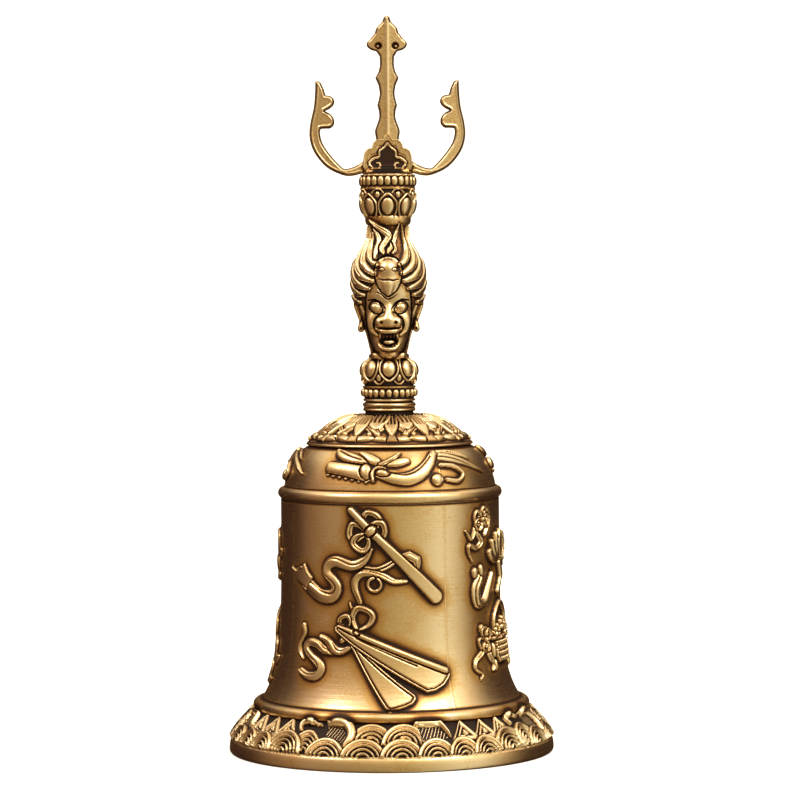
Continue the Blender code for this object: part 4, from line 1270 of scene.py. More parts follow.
def mask_snout(clay, side):
    """A nostril's wing, the crease and the fold of the cheek, and the edge of the face."""
    clay.add(oval((side * 2.4, -8.9, 118.9), (1.35, 1.5, 1.4)), 0.6)
    clay.carve(oval((side * 2.0, -10.4, 118.8), (0.45, 0.9, 0.42)), 0.1)
    crease = [(1.2, 121.7), (2.6, 120.8), (3.8, 119.6), (4.1, 118.0), (3.8, 117.0)]
    clay.engrave(cord(on_side(side, crease), [0.12, 0.24, 0.3, 0.34, 0.2]), 0.8)
    fold = [(5.3, -5.9, 118.6), (4.7, -6.9, 116.7), (3.2, -7.5, 115.4)]
    clay.add(strand(on_side(side, fold), [0.3, 0.6, 0.5]), 0.25)
    edge = [(4.2, 129.2), (5.6, 127.8), (6.2, 125.5), (6.3, 122.0)]
    edge += [(6.1, 119.0), (5.7, 116.2), (4.9, 113.2), (3.6, 110.4)]
    clay.engrave(cord(on_side(side, edge), [0.16, 0.2, 0.2, 0.2]), 0.5)


def mask_mouth(clay):
    """The open mouth with its lips, teeth and tongue, and the chin below it."""
    lip = [(-3.6, -7.3, 117.1), (-1.9, -8.7, 116.5), (0, -9.2, 116.3), (1.9, -8.7, 116.5), (3.6, -7.3, 117.1)]
    clay.add(strand(lip, [0.4, 0.65, 0.6, 0.65, 0.4]), 0.2)
    clay.carve(oval((0, -8.8, 113.8), (2.9, 2.9, 1.9)), 0.25)
    # Patina and painted shade inside the open mouth
    clay.paint_patina_wear_and_light(dome((0, 113.9), (2.7, 1.7)), 0.5)
    for x in (-2.3, -1.4, -0.5, 0.5, 1.4, 2.3):
        length = 1.3 if abs(x) > 2 else 0.7
        clay.add(oval((x, -8.3 + 0.12 * x * x, 115.1), (0.4, 0.45, length)), 0.05)
    tongue = strand([(-1.1, -7.0, 113.4), (0, -7.4, 113.3), (1.1, -7.0, 113.4)], [0.6, 0.7, 0.6])
    clay.add(tongue, 0.1)
    # Painted highlight on the tongue
    clay.paint_patina_wear_and_light(dome((0.1, 113.3), (1.4, 0.6)), -0.7)
    lip = [(-3.2, -6.6, 113.3), (-1.9, -7.8, 111.8), (0, -8.3, 111.4), (1.9, -7.8, 111.8), (3.2, -6.6, 113.3)]
    clay.add(strand(lip, [0.3, 0.45, 0.5, 0.45, 0.3]), 0.15)
    for x in (1.2, 1.9, 2.5, -2.0):
        clay.add(oval((x, -8.1 + 0.15 * x * x, 112.2 + 0.1 * abs(x)), (0.28, 0.35, 0.45)), 0.05)
    clay.add(oval((0, -6.0, 110.2), (2.6, 2.1, 1.4)), 0.6)


def mask(clay):
    """The guardian's face: round eyes under a heavy forehead, a broad snout and an open mouth."""
    clay.add(oval((0, -3.0, 121.6), (6.4, 6.0, 8.4)), 0.3)
    clay.add(oval((0, -2.9, 114.4), (5.2, 5.4, 5.8)), 1.4)
    clay.add(oval((0, -4.8, 127.0), (6.0, 4.3, 3.4)), 0.6)
    # Painted highlight over the forehead
    clay.paint_patina_wear_and_light(dome((0, 127.2), (4.6, 2.2)), -0.15, 1.5)
    for side in (1, -1):
        mask_eyes(clay, side)
    clay.add(strand([(0, -8.0, 124.0), (0, -8.8, 121.6), (0, -9.2, 119.6)], [0.75, 0.95, 1.7]), 0.5)
    # Painted highlight over the middle of the face
    clay.paint_patina_wear_and_light(dome((0, 120.5), (4.8, 8.5)), -0.12, 1.2)
    clay.add(oval((0, -8.5, 119.0), (3.3, 2.2, 1.9)), 0.8)
    for side in (1, -1):
        mask_snout(clay, side)
    mask_mouth(clay)
    long_wrinkle = [(-3.6, 127.1), (-2.2, 126.6), (-0.4, 125.2), (0.9, 125.5), (2.6, 126.6)]
    short_wrinkle = [(-3.0, 128.2), (-1.8, 127.6)]
    for line in (long_wrinkle, short_wrinkle):
        clay.press(cord(line, [0.08, 0.2, 0.24, 0.2, 0.08]), -0.4)
        clay.paint_patina_wear_and_light(cord(line, [0.08, 0.16, 0.08]), 0.5, 0.2)


def bird_head(clay):
    """The small beaked head that sits over the mask's brow."""
    clay.add(oval((0, -6.4, 133.2), (3.5, 4.1, 3.5)), 0.2)
    beak = [(0, -7.4, 131.4), (0, -8.5, 129.2), (0, -9.2, 127.2), (0, -9.4, 126.3)]
    clay.add(strand(beak, [2.8, 2.1, 1.05, 0.35]), 0.6)
    # Painted highlights on the small head's brow and over its beak
    clay.paint_patina_wear_and_light(dome((0, 134.6), (2.6, 1.8)), -0.3)
    clay.paint_patina_wear_and_light(dome((0, 130.5), (3.0, 4.0)), -0.15, 1.0)
    for side in (1, -1):
        clay.add(oval((side * 1.75, -9.6, 133.35), (0.55, 0.5, 0.42)), 0.1)
        lids = [(0.9, 133.1), (1.5, 133.85), (2.4, 133.7), (2.7, 133.1), (1.8, 132.8), (0.9, 133.1)]
        clay.engrave(cord(on_side(side, lids), 0.12), 0.3, 0.7, 0.3)
        clay.carve(oval((side * 0.95, -10.7, 131.6), (0.26, 0.6, 0.22)), 0.1)
        tuft = [(3.9, -7.6, 134.0), (4.6, -7.3, 132.8), (4.1, -7.8, 131.6), (4.5, -7.5, 130.2)]
        clay.add(strand(on_side(side, tuft), [0.3, 0.5, 0.5, 0.3]), 0.1)
    muzzle = [(-2.7, 130.7), (-1.2, 130.4), (0, 130.5), (1.3, 130.3), (2.7, 130.6)]
    clay.engrave(cord(muzzle, [0.12, 0.26, 0.26, 0.26, 0.12]), 0.4, 0.35, 0.9)
    half = [(0, 125.8), (2.1, 127.3), (3.3, 129.6), (3.8, 132.0), (3.6, 134.4), (2.3, 136.3), (0, 137.0)]
    clay.engrave(cord(looped(both_halves(half)), 0.2), 0.6, 0.7, 0.5)


def ears(clay):
    """Long-lobed ears at the mask's sides, each with a ring in its lobe."""
    for side in (1, -1):
        rim = [(7.2, -3.2, 126.2), (8.5, -2.4, 125.6), (8.9, -2.0, 123.6)]
        rim += [(8.2, -2.2, 121.2), (7.6, -2.8, 119.2)]
        clay.add(strand(on_side(side, rim), [0.5, 0.8, 0.75, 0.65, 0.5]), 0.2)
        clay.add(oval((side * 7.4, -2.8, 123.2), (0.9, 1.0, 2.2), side * -10), 0.3)
        hollow = on_side(side, [(7.9, -3.6, 124.8), (7.7, -3.7, 122.6)])
        clay.carve(strand(hollow, [0.35, 0.25]), 0.1)
        lobe = on_side(side, [(7.6, -2.8, 119.2), (7.6, -3.0, 117.0)])
        clay.add(strand(lobe, [0.5, 0.95]), 0.15)
        clay.carve(oval((side * 7.6, -4.0, 117.1), (0.36, 0.7, 0.42)), 0.1)
        nape = on_side(side, [(4.5, -1.3, 110.4), (5.2, -1.0, 115.6)])
        clay.add(strand(nape, [0.6, 0.7]), 0.6)


def grip(material):
    """The column with a guardian mask on its front and back, flame hair between them and a neck ring."""
    low, high = GRIP_LOW_Z, GRIP_TOP_Z
    # A whole number of steps puts voxels on the plane that the front is mirrored in
    reach = 90 * CLAY_STEP
    clay = Clay((-reach, -reach, low - CLAY_MARGIN), (reach, 0, high + CLAY_MARGIN), CLAY_STEP)
    core = [(5.1, low), (4.9, low + 0.5), (4.4, 110.4), (4.8, 113.0), (5.9, 116.0), (7.0, 119.5)]
    core += [(7.9, 121.7), (8.7, 124.0), (9.3, 126.2), (9.75, 130.6), (9.5, 132.8), (8.9, 135.0)]
    core += [(7.7, 137.2), (6.2, 139.5), (5.2, 141.7), (4.9, 144.0), (5.2, 145.8), (5.4, high)]
    clay.add(turned_lump(core), 0.05)
    clay.wrap(hair_relief())
    mask(clay)
    bird_head(clay)
    ears(clay)
    neck_ring = bezier((5.5, high - 2.4), (6.5, high - 2.2), (6.5, high - 0.2), (6.05, high + CLAMP_GAP), 10)
    clay.add(turned_lump(neck_ring), 0.12)
    clay.add(turned_lump([(SPIGOT_RADIUS, high - 1), (SPIGOT_RADIUS, high + CLAMP_GAP)]), 0.02)
    for side in (1, -1):
        roll = [(2.2, -5.7, low + 0.5), (3.7, -5.0, low + 1.2), (5.0, -3.2, low + 0.9)]
        clay.add(strand(on_side(side, roll), [0.5, 0.8, 0.6]), 0.1)
    clay.mirror(1)
    clay.carve(turned_lump([(BORE, low - 2), (BORE, high + 2)]), 0.05)
    return finish_piece("mask_grip", clay.mesh("mask_grip", 0.85), material, "bell", "handle_grip")


# ---------------------------------------------------------------- trident
# Heights are the bell's own Z: lowest bend of the side prongs 159, point of the plaques 171, tips of the side
# prongs 185, shoulders of the spear 195. Outlines are of the right half, in (x, z) points.
def slab(outline, depth, corner=0.25):
    """A plate in the XZ plane. Depth, half its thickness, may follow x, z and the distance to the edge."""
    line = np.array(outline, float)

    def distance(x, y, z):
        flat_x, flat_z = np.broadcast_arrays(x[:, 0, :], z[:, 0, :])
        edge = polygon_distance(line, flat_x, flat_z)
        half = depth(flat_x, flat_z, edge) if callable(depth) else depth + 0 * edge
        return -smooth_min(-edge[:, None, :], half[:, None, :] - np.abs(y), corner)

    (left, bottom), (right, top) = line.min(axis=0), line.max(axis=0)
    return (left, -PLAQUE_HALF, bottom), (right, PLAQUE_HALF, top), distance


def arm_lines():
    """The outer and the inner edge of the right prong, from the plaque to the tip."""
    outer = [(4.0, 160.2), (7.4, 159.8), (9.4, 159.3), (12.2, 159.4), (16.8, 161.6), (20.2, 165.7)]
    outer += [(21.5, 169.7), (21.3, 173.6), (20.3, 178.0), (19.9, 182.0), (19.8, ARM_TIP_Z)]
    foot = [(4.0, 165.4), (6.4, 163.4), (9.0, 161.8), (11.6, 161.1), (13.0, 161.9)]
    foot += [(15.8, 165.0), (17.9, 168.2), (18.6, 171.0), (18.4, 172.2)]
    foot = smooth_curve(foot, 4)
    lobe = bezier((17.0, 172.3), (14.4, 171.7), (13.2, 175.6), (17.2, 177.1), 8)
    upper = bezier((17.2, 177.1), (12.9, 178.8), (14.6, 181.6), (17.0, 181.4), 8)
    point = [(17.5, 183.2), (18.3, ARM_TIP_Z - 0.5), (18.9, ARM_TIP_Z - 0.1)]
    return smooth_curve(outer, 4), np.vstack([foot, lobe, upper, point])


def plaque_half():
    """The right half of the scalloped plaque, from its foot to its point."""
    low = YOKE_LOW_Z + 1.0
    side = [(0, low), (6.3, low), (6.7, 161.6)]
    lower_scallop = bezier((6.65, 163.4), (6.6, 165.8), (5.8, 166.8), (4.3, 166.7), 5)
    upper_scallop = bezier((4.2, 166.8), (4.1, 168.6), (2.9, 169.5), (1.3, 169.0), 5)
    point = [(0.75, 170.2), (0, 171.3)]
    return np.vstack([side, lower_scallop, upper_scallop, point])


def arm_depth(x, z, edge):
    """Half a side prong's thickness: thinner outwards, with a bevelled edge and a fine line by it."""
    face = np.clip(1.3 - 0.16 * (x - 18), 0.8, 2.3)
    bevel = 1.3 * np.clip(0.55 + edge, 0, 0.55)
    return face - bevel + 0.16 * np.exp(-(((edge + 0.75) / 0.17) ** 2))


def plaque_depth(x, z, edge):
    """Half the thickness over both plaques: their field lies a little below a plain border."""
    border = 1.45
    return 3.25 - 0.3 * smooth_step((-edge - border) / 0.3)


def trident(material):
    """Two scalloped plaques back to back, the side prongs between them, and the round foot."""
    step = 0.12
    deep = 42 * step
    clay = Clay((0, -deep, YOKE_LOW_Z - CLAY_MARGIN), (23.4, deep, ARM_TIP_Z + CLAY_MARGIN), step)
    outer, inner = arm_lines()
    arm = np.vstack([outer, inner[::-1]])
    clay.add(slab(arm, arm_depth, 0.15), 0.3)
    # Painted shade along the inner edge of each side prong
    clay.paint_patina_wear_and_light(cord(inner[7:], 0.35, smooth=False), 0.75, 0.3)
    clay.add(slab(both_halves(plaque_half()), plaque_depth, 0.2), 0.1)
    edge_line = resampled(plaque_half()[2:-1] * (0.985, 1) - (0, 0.12), 0.3)
    clay.press(cord(edge_line, 0.2, smooth=False), 0.13)
    ogee = [(0, 168.0), (0.9, 166.9), (2.2, 165.8), (2.35, 164.3), (3.7, 163.9), (4.9, 162.7), (4.3, 161.3)]
    ogee += [(3.0, 160.9)]
    curl = [(2.0, 161.5), (2.2, 162.5), (2.9, 162.6)]
    clay.paint_patina_wear_and_light(plate(both_halves([*ogee, (0, 160.9)]), corner=0.75), 0.75, 0.6)
    widths = [0.3, 0.32, 0.34, 0.34, 0.38, 0.36, 0.34, 0.3, 0.28, 0.3, 0.3]
    clay.press(cord(ogee + curl, widths), 0.42)
    clay.paint_patina_wear_and_light(cord(ogee + curl, 0.36), -0.9, 0.3)
    low = YOKE_LOW_Z
    ledge = cord([(0, low + 0.9), (5.6, low + 0.9)], 0.28, smooth=False)
    clay.press(ledge, 0.4)
    clay.paint_patina_wear_and_light(ledge, -0.8, 0.3)
    foot = [(6.5, low), (6.95, low + 0.35), (6.95, low + 0.8), (6.4, low + 1.2), (6.2, low + 1.7)]
    clay.add(turned_lump(foot), 0.15)
    clay.mirror(0)
    socket = [(-3.75, 165.9), (3.75, 165.9), (3.75, 175.0), (-3.75, 175.0)]
    clay.carve(slab(socket, PRONG_HALF + GAP, 0.05), 0.05)
    clay.carve(turned_lump([(BORE, low - 2), (BORE, 164.4)]), 0.05)
    return finish_piece("trident_yoke_cast", clay.mesh("trident_yoke_cast"), material, "bell", "trident_yoke")


def prong_outline():
    """The spear's outline: a shaft with two sharp knots, a shouldered head and its point."""
    foot = [(3.2, 169.6), (3.45, 171.5), (2.9, 173.2), (2.25, 175.2), (2.3, 177.0)]
    middle = [(2.3, 180.2), (2.05, 182.0), (2.4, 184.2)]
    neck = [(2.35, 187.8), (1.95, 189.6), (2.0, 192.0)]
    shoulder = [(2.9, 193.4), (4.6, 193.9), (5.6, 194.9), (5.5, 196.0), (4.6, 196.9)]
    foot, middle, neck, shoulder = (smooth_curve(points, 4) for points in (foot, middle, neck, shoulder))
    root = [(0, PRONG_LOW_Z), (3.0, PRONG_LOW_Z)]
    lower_knot, upper_knot = [(2.75, 178.6)], [(3.25, 186.1)]
    point = [(3.3, 198.5), (2.85, 199.9), (1.2, 201.6), (0.75, 202.9), (0, PRONG_TIP_Z)]
    return both_halves(np.vstack([root, foot, lower_knot, middle, upper_knot, neck, shoulder, point]))


def blade_depth(x, z, edge):
    """Half the spear's thickness: bevelled at its edges, with a soft rib down the middle."""
    bevel = 1.3 * np.clip(0.6 + edge, 0, 0.6)
    return 1.3 - 0.1 * np.abs(x) - bevel + 0.2 * np.exp(-((x / 0.5) ** 2))


def spear(material):
    """The centre prong: a spear head and a knotted shaft, with a soft rib down the middle and two pits."""
    step = 0.1
    deep = 30 * step
    clay = Clay((0, -deep, PRONG_LOW_Z - CLAY_MARGIN), (7.4, deep, PRONG_TIP_Z + CLAY_MARGIN), step)
    clay.add(slab(prong_outline(), blade_depth, 0.3), 0.05)
    for y in (-PRONG_HALF, PRONG_HALF):
        clay.carve(oval((2.35, y, 194.9), (1.1, 1.35, 1.1)), 0.15)
        clay.add(oval((2.5, y * 0.25, 194.75), (0.5, 0.5, 0.5)), 0.1)
    clay.mirror(0)
    clay.carve(cylinder_along_y(1.2, PIN_Z), 0.02)
    return finish_piece("spear_prong", clay.mesh("spear_prong"), material, "bell", "center_prong")


def cylinder_along_y(radius, z):
    """A long cylinder along Y at a height."""

    def distance(x, y, height):
        return np.hypot(x, height - z) - radius + 0 * y

    return (-radius, -PLAQUE_HALF, z - radius), (radius, PLAQUE_HALF, z + radius), distance


# ---------------------------------------------------------------- fastenings and clapper
def turned_solid(name, outline, columns=96, spacing=0.4, thread=None, wear=0.25):
    """A solid turned about Z, from the axis at its foot to the axis at its top, with a (low, high) thread."""
    line = [np.array(outline[:2], float)]
    for a, b in zip(outline[1:-1], outline[2:-1]):
        count = max(1, ceil(hypot(b[0] - a[0], b[1] - a[1]) / spacing))
        line.append(np.linspace(a, b, count + 1)[1:])
    line = np.vstack(line)[1:]
    angles = np.arange(columns) / columns * 2 * pi
    radius = line[:, :1] + 0 * angles
    stain = wear + 0 * radius
    if thread:
        turns = line[:, 1:] / THREAD_PITCH - angles / (2 * pi)
        within = (line[:, 1:] > thread[0]) & (line[:, 1:] < thread[1])
        groove = 0.5 + 0.5 * np.cos(2 * pi * turns)
        radius -= within * THREAD_DEPTH * groove
        stain += within * 0.5 * groove
    points = np.stack([radius * np.sin(angles), -radius * np.cos(angles), line[:, 1:] + 0 * angles], axis=2)
    rows = len(line)
    poles = [(0, 0, outline[0][1]), (0, 0, outline[-1][1])]
    points = np.vstack([points.reshape(-1, 3), poles])
    i, j = np.meshgrid(np.arange(rows - 1), np.arange(columns), indexing="ij")
    here, above, following = i * columns, (i + 1) * columns, (j + 1) % columns
    sides = np.stack([here + j, here + following, above + following, above + j], axis=2)
    faces = sides.reshape(-1, 4).tolist()
    foot, top = rows * columns, rows * columns + 1
    for k in range(columns):
        beside = (k + 1) % columns
        faces.append((foot, beside, k))
        faces.append((top, (rows - 1) * columns + k, (rows - 1) * columns + beside))
    mesh = bpy.data.meshes.new(name)
    mesh.from_pydata((points * MM).tolist(), [], faces)
    mesh.shade_smooth()
    layer = mesh.attributes.new("patina_and_painted_light", "FLOAT", "POINT")
    layer.data.foreach_set("value", np.append(stain.ravel(), [wear, wear]).astype(np.float32))
    return mesh


def ring_of(points, columns=120, wear=0.3):
    """A wall of plain sections through the corner points, closed on itself."""
    wall = Wall(columns)
    for a, b in zip(points, points[1:] + points[:1]):
        wall.plain([a, b], 0.35, wear)
    return wall


def nut(name, node, bore, material, body):
    """A hexagon nut with chamfered corners, sized from its solid."""
    low, high = box_mm(node)
    apothem = min(high[0] - low[0], high[1] - low[1]) / 2
    bottom, top = low[2], high[2]
    columns = 360
    angles = np.arange(columns) / columns * 360 - 180
    turn = 0 if high[0] - low[0] > high[1] - low[1] else 30
    hexagon = apothem / np.cos(np.radians((angles + turn) % 60 - 30)) - apothem
    corner = apothem * (1 / cos(pi / 6) - 1)
    wall = Wall(columns)
    wall.plain([(bore, bottom), (apothem - 0.3, bottom)], 0.6, 0.3)
    side = resampled([(apothem - 0.02, bottom), (apothem - 0.02, top)], 0.2)
    depth = np.minimum(side[:, 1] - bottom, top - side[:, 1])[:, None]
    height = np.minimum(hexagon[None, :], corner - 0.3 + 1.6 * depth) - 0.02
    wall.parts.append((side, np.minimum(height, depth * 4), 0.25 + 0 * height))
    wall.plain([(apothem - 0.3, top), (bore, top)], 0.6, 0.3)
    bore_line = resampled([(bore, top), (bore, bottom)], 0.2)
    groove = 0.5 + 0.5 * np.cos(2 * pi * (bore_line[:, 1:] / THREAD_PITCH - angles / 360))
    wall.parts.append((bore_line, -0.2 * groove, 0.3 + 0.4 * groove))
    return finish_piece(name, wall.mesh(name), material, body, node)


def washer(name, node, material):
    """A flat ring with bevelled outer edges, sized from its solid."""
    low, high = box_mm(node)
    outer, bottom, top = high[0], low[2], high[2]
    bevel = 0.15
    points = [(BORE, bottom), (outer - bevel, bottom), (outer, bottom + bevel), (outer, top - bevel)]
    points += [(outer - bevel, top), (BORE, top)]
    return finish_piece(name, ring_of(points).mesh(name), material, "bell", node)


def hanger(material):
    """The sleeve nut on the rod's end. The swivel eye's head turns in the hollow at its foot."""
    low, high = box_mm("hanger_cap")
    foot, top = low[2], high[2]
    head_low, head_high = HEAD_LOW_Z - GAP, HEAD_TOP_Z + GAP
    points = [(1.8, foot), (3.6, foot), (4.6, foot + 0.4), (5.0, foot + 1.3), (5.0, top - 0.6), (4.6, top)]
    points += [(BORE, top), (BORE, head_high), (3.6, head_high), (3.6, head_low), (1.8, head_low)]
    wall = ring_of(points, 180)
    columns = wall.columns
    knurl = np.abs(np.sin(np.arange(columns) / columns * 2 * pi * 30))[None, :]
    line, height, stain = wall.parts[3]
    fade = smooth_step(np.minimum(line[:, 1] - line[0, 1], line[-1, 1] - line[:, 1]) / 0.5)[:, None]
    wall.parts[3] = (line, height - 0.22 * knurl * fade, stain + 0.4 * knurl * fade)
    return finish_piece("hanger_sleeve", wall.mesh("hanger_sleeve"), material, "bell", "hanger_cap")


def wire_ring(centre_z, across_y):
    """A round wire bent to a ring that stands in the XZ plane, or in the YZ plane."""

    def distance(x, y, z):
        flat, off = (y, x) if across_y else (x, y)
        return np.hypot(np.hypot(flat, z - centre_z) - RING_RADIUS, off) - WIRE_RADIUS

    reach = RING_RADIUS + WIRE_RADIUS
    return (-reach, -reach, centre_z - reach), (reach, reach, centre_z + reach), distance


def eye(material):
    """A headed shank that turns in the hanger, with the ring that the clapper hangs from."""
    ring_z = PIVOT_Z + RING_RADIUS
    low, high = ring_z - RING_ROOM, HEAD_TOP_Z + CLAY_MARGIN
    clay = Clay((-RING_ROOM, -RING_ROOM, low), (RING_ROOM, RING_ROOM, high), 0.1)
    clay.add(wire_ring(ring_z, across_y=False), 0.05)
    shank = [(1.5, ring_z + RING_RADIUS), (1.5, HEAD_LOW_Z), (3.3, HEAD_LOW_Z), (3.3, HEAD_TOP_Z)]
    clay.add(turned_lump(shank), 0.4)
    return finish_piece("hook_eye", clay.mesh("hook_eye"), material, "swivel", "swivel_eye")


def clapper_stem(material):
    """The clapper's stem: a ring at its top, a collar over the ball and a plain round end."""
    ring_z = PIVOT_Z + 2 * WIRE_RADIUS + GAP - RING_RADIUS
    low = box_mm("clapper_rod")[0][2]
    collar_z = BALL_Z + BALL_RADIUS
    corner = (RING_ROOM, RING_ROOM, ring_z + RING_ROOM)
    clay = Clay((-RING_ROOM, -RING_ROOM, low - CLAY_MARGIN), corner, 0.12)
    clay.add(wire_ring(ring_z, across_y=True), 0.05)
    stem = [(STEM_RADIUS - 0.2, low), (STEM_RADIUS, low + 0.3), (STEM_RADIUS, collar_z), (2.5, collar_z)]
    stem += [(2.7, collar_z + 0.3), (2.7, collar_z + 0.9), (STEM_RADIUS, collar_z + 1.8)]
    stem += [(STEM_RADIUS, ring_z - RING_RADIUS)]
    clay.add(turned_lump(stem), 0.35)
    return finish_piece("clapper_stem", clay.mesh("clapper_stem"), material, "clapper", "clapper_rod")


def strike_ball(material):
    """The cast ball, a little uneven, with a faint parting line round its middle."""
    bore = STEM_RADIUS + GAP
    wall = Wall(240)
    limit = degrees(atan2(BALL_RADIUS - 0.25, bore))
    line = arc((0, BALL_Z), BALL_RADIUS, -limit, limit, 120)
    angles = np.arange(wall.columns) / wall.columns * 2 * pi
    z = line[:, 1:]
    dent = 0.05 * np.sin(3 * angles + z) * np.sin(2.3 * z + 2 * angles) - 0.06
    seam = 0.05 * np.exp(-(((z - BALL_Z) / 0.14) ** 2))
    wall.parts.append((line, dent + seam, 0.2 - 3 * dent))
    wall.plain([line[-1], (bore, line[-1][1] - 0.2), (bore, line[0][1] + 0.2)], 0.8, 0.7)
    return finish_piece("strike_ball", wall.mesh("strike_ball"), material, "clapper", "clapper_ball")


def stud(name, radius, low, high, bevel, spacing=0.4, thread=None):
    """A round rod along Z with bevelled ends."""
    outline = [(0, low), (radius - bevel, low), (radius, low + bevel), (radius, high - bevel)]
    outline += [(radius - bevel, high), (0, high)]
    return turned_solid(name, outline, 48, spacing, thread)


def fastenings(steel, dark):
    """The rod through the handle, what clamps it under the crown, the clapper's hanger and the cross pin."""
    low, high = foot_and_top("tie_rod")
    rod = stud("threaded_rod", ROD_RADIUS, low, high, 0.4, 0.13, (low, high))
    finish_piece("threaded_rod", rod, steel, "bell", "tie_rod")
    washer("plain_washer", "crown_washer", steel)
    washer("spring_washer", "lock_washer", steel)
    nut("hex_nut", "crown_nut", BORE, steel, "bell")
    hanger(steel)
    low, high = (corner[1] for corner in box_mm("prong_pin"))
    pin = stud("cross_pin", PIN_RADIUS, low, high, 0.15)
    for vert in pin.vertices:
        x, y, z = vert.co
        vert.co = (x, z, PIN_Z * MM - y)
    finish_piece("cross_pin", pin, dark, "bell", "prong_pin")
    eye(steel)
    clapper_stem(steel)
    strike_ball(dark)
    nut("end_nut", "clapper_end_nut", STEM_RADIUS + GAP, steel, "clapper")


# ---------------------------------------------------------------- materials
class Nodes:
    """The nodes of a material or a world, and short ways to add to them."""

    def __init__(self, owner):
        owner.use_nodes = True
        self.tree = owner.node_tree
        self.tree.nodes.clear()
        self.link = self.tree.links.new

    def add(self, kind, **values):
        """A node with some of its properties set."""
        node = self.tree.nodes.new(kind)
        for key, value in values.items():
            setattr(node, key, value)
        return node

    def maths(self, operation, *values, clamp=False):
        """The result of a maths node on numbers and sockets."""
        node = self.add("ShaderNodeMath", operation=operation, use_clamp=clamp)
        for socket, value in zip(node.inputs, values):
            if isinstance(value, (int, float)):
                socket.default_value = value
            else:
                self.link(value, socket)
        return node.outputs[0]

    def colour_steps(self, factor, steps, blend="LINEAR"):
        """A colour ramp from (position, colour) steps."""
        ramp = self.add("ShaderNodeValToRGB")
        ramp.color_ramp.interpolation = blend
        self.link(factor, ramp.inputs[0])
        elements = ramp.color_ramp.elements
        elements[0].position, elements[0].color = steps[0][0], (*steps[0][1], 1)
        elements[1].position, elements[1].color = steps[-1][0], (*steps[-1][1], 1)
        for position, colour in steps[1:-1]:
            elements.new(position).color = (*colour, 1)
        return ramp.outputs[0]


# Colours from bright metal to deep patina
BRASS = (
    (0.0, (0.88, 0.69, 0.45)),
    (0.05, (0.74, 0.49, 0.22)),
    (0.12, (0.66, 0.41, 0.165)),
    (0.27, (0.33, 0.155, 0.045)),
    (0.47, (0.07, 0.026, 0.012)),
    (1.0, (0.018, 0.008, 0.006)),
)
DARK_BRASS = (
    (0.0, (0.52, 0.33, 0.13)),
    (0.3, (0.30, 0.17, 0.06)),
    (0.6, (0.09, 0.045, 0.02)),
    (1.0, (0.02, 0.012, 0.01)),
)
STEEL = (
    (0.0, (0.58, 0.57, 0.54)),
    (0.4, (0.40, 0.39, 0.37)),
    (0.7, (0.15, 0.13, 0.12)),
    (1.0, (0.05, 0.04, 0.035)),
)


def metal(name, steps, rolled_out=False, gain=1.0, polish=0.3, pits=0.16):
    """Metal rubbed bright on its high places, with patina and painted shade in its recesses, painted
    highlights where its stain is lowered, and fine brushing or pits.
    """
    material = bpy.data.materials.new(name)
    nodes = Nodes(material)
    add, link, maths = nodes.add, nodes.link, nodes.maths

    def noise(vector, scale, detail=4.0, rough=0.55, stretch=(1, 1, 1)):
        mapping = add("ShaderNodeMapping")
        mapping.inputs["Scale"].default_value = stretch
        link(vector, mapping.inputs["Vector"])
        node = add("ShaderNodeTexNoise")
        node.inputs["Scale"].default_value = scale
        node.inputs["Detail"].default_value = detail
        node.inputs["Roughness"].default_value = rough
        link(mapping.outputs[0], node.inputs["Vector"])
        return node.outputs[0]

    where = add("ShaderNodeTexCoord")
    spot = where.outputs["Object"]
    patina_and_painted_light = add("ShaderNodeAttribute", attribute_name="patina_and_painted_light").outputs["Fac"]
    blotch = noise(spot, 90.0, 5.0)
    speck = noise(spot, 1900.0, 3.0, 0.65)
    if rolled_out:
        hair = noise(where.outputs["UV"], 1.0, 3.0, 0.75, (26.0, 3.6, 1.0))
    else:
        hair = noise(spot, 2600.0, 2.0, 0.7)
    uneven = maths("MULTIPLY_ADD", blotch, 0.18, -0.09)
    grainy = maths("MULTIPLY_ADD", speck, pits, -pits / 2)
    brushed = maths("MULTIPLY_ADD", hair, 0.16, -0.08)
    texture = maths("ADD", uneven, maths("ADD", grainy, brushed))
    soaked = maths("MULTIPLY_ADD", patina_and_painted_light, gain, texture, clamp=True)
    shader = add("ShaderNodeBsdfPrincipled")
    link(nodes.colour_steps(soaked, steps), shader.inputs["Base Color"])
    link(maths("MULTIPLY_ADD", soaked, -0.5, 1.0), shader.inputs["Metallic"])
    streak = maths("MULTIPLY_ADD", hair, 0.24, polish - 0.12)
    link(maths("MULTIPLY_ADD", soaked, 0.3, streak, clamp=True), shader.inputs["Roughness"])
    bump = add("ShaderNodeBump")
    bump.inputs["Strength"].default_value = 0.42
    bump.inputs["Distance"].default_value = 0.06 * MM
    link(maths("MULTIPLY_ADD", speck, 0.6, hair), bump.inputs["Height"])
    link(bump.outputs[0], shader.inputs["Normal"])
    out = add("ShaderNodeOutputMaterial")
    link(shader.outputs[0], out.inputs[0])
    return material


# ---------------------------------------------------------------- studio
# Light that reaches the bell from each direction round it, in degrees from the viewer's side towards +X
SHADE = (0.035, 0.014, 0.009)
AROUND = (
    (-180, SHADE),
    (-114, SHADE),
    (-92, (0.24, 0.14, 0.08)),
    (-66, (0.38, 0.25, 0.14)),
    (-30, (0.40, 0.29, 0.15)),
    (0, (0.47, 0.365, 0.175)),
    (30, (0.66, 0.55, 0.30)),
    (56, (1.04, 1.01, 0.77)),
    (72, (0.84, 0.75, 0.50)),
    (86, (0.42, 0.29, 0.14)),
    (104, SHADE),
    (180, SHADE),
)
# How much more of it comes from higher up, by elevation in degrees
UPWARDS = ((-90, 0.7), (-5, 0.9), (5, 1.05), (25, 1.7), (50, 2.1), (75, 2.3), (90, 2.0))
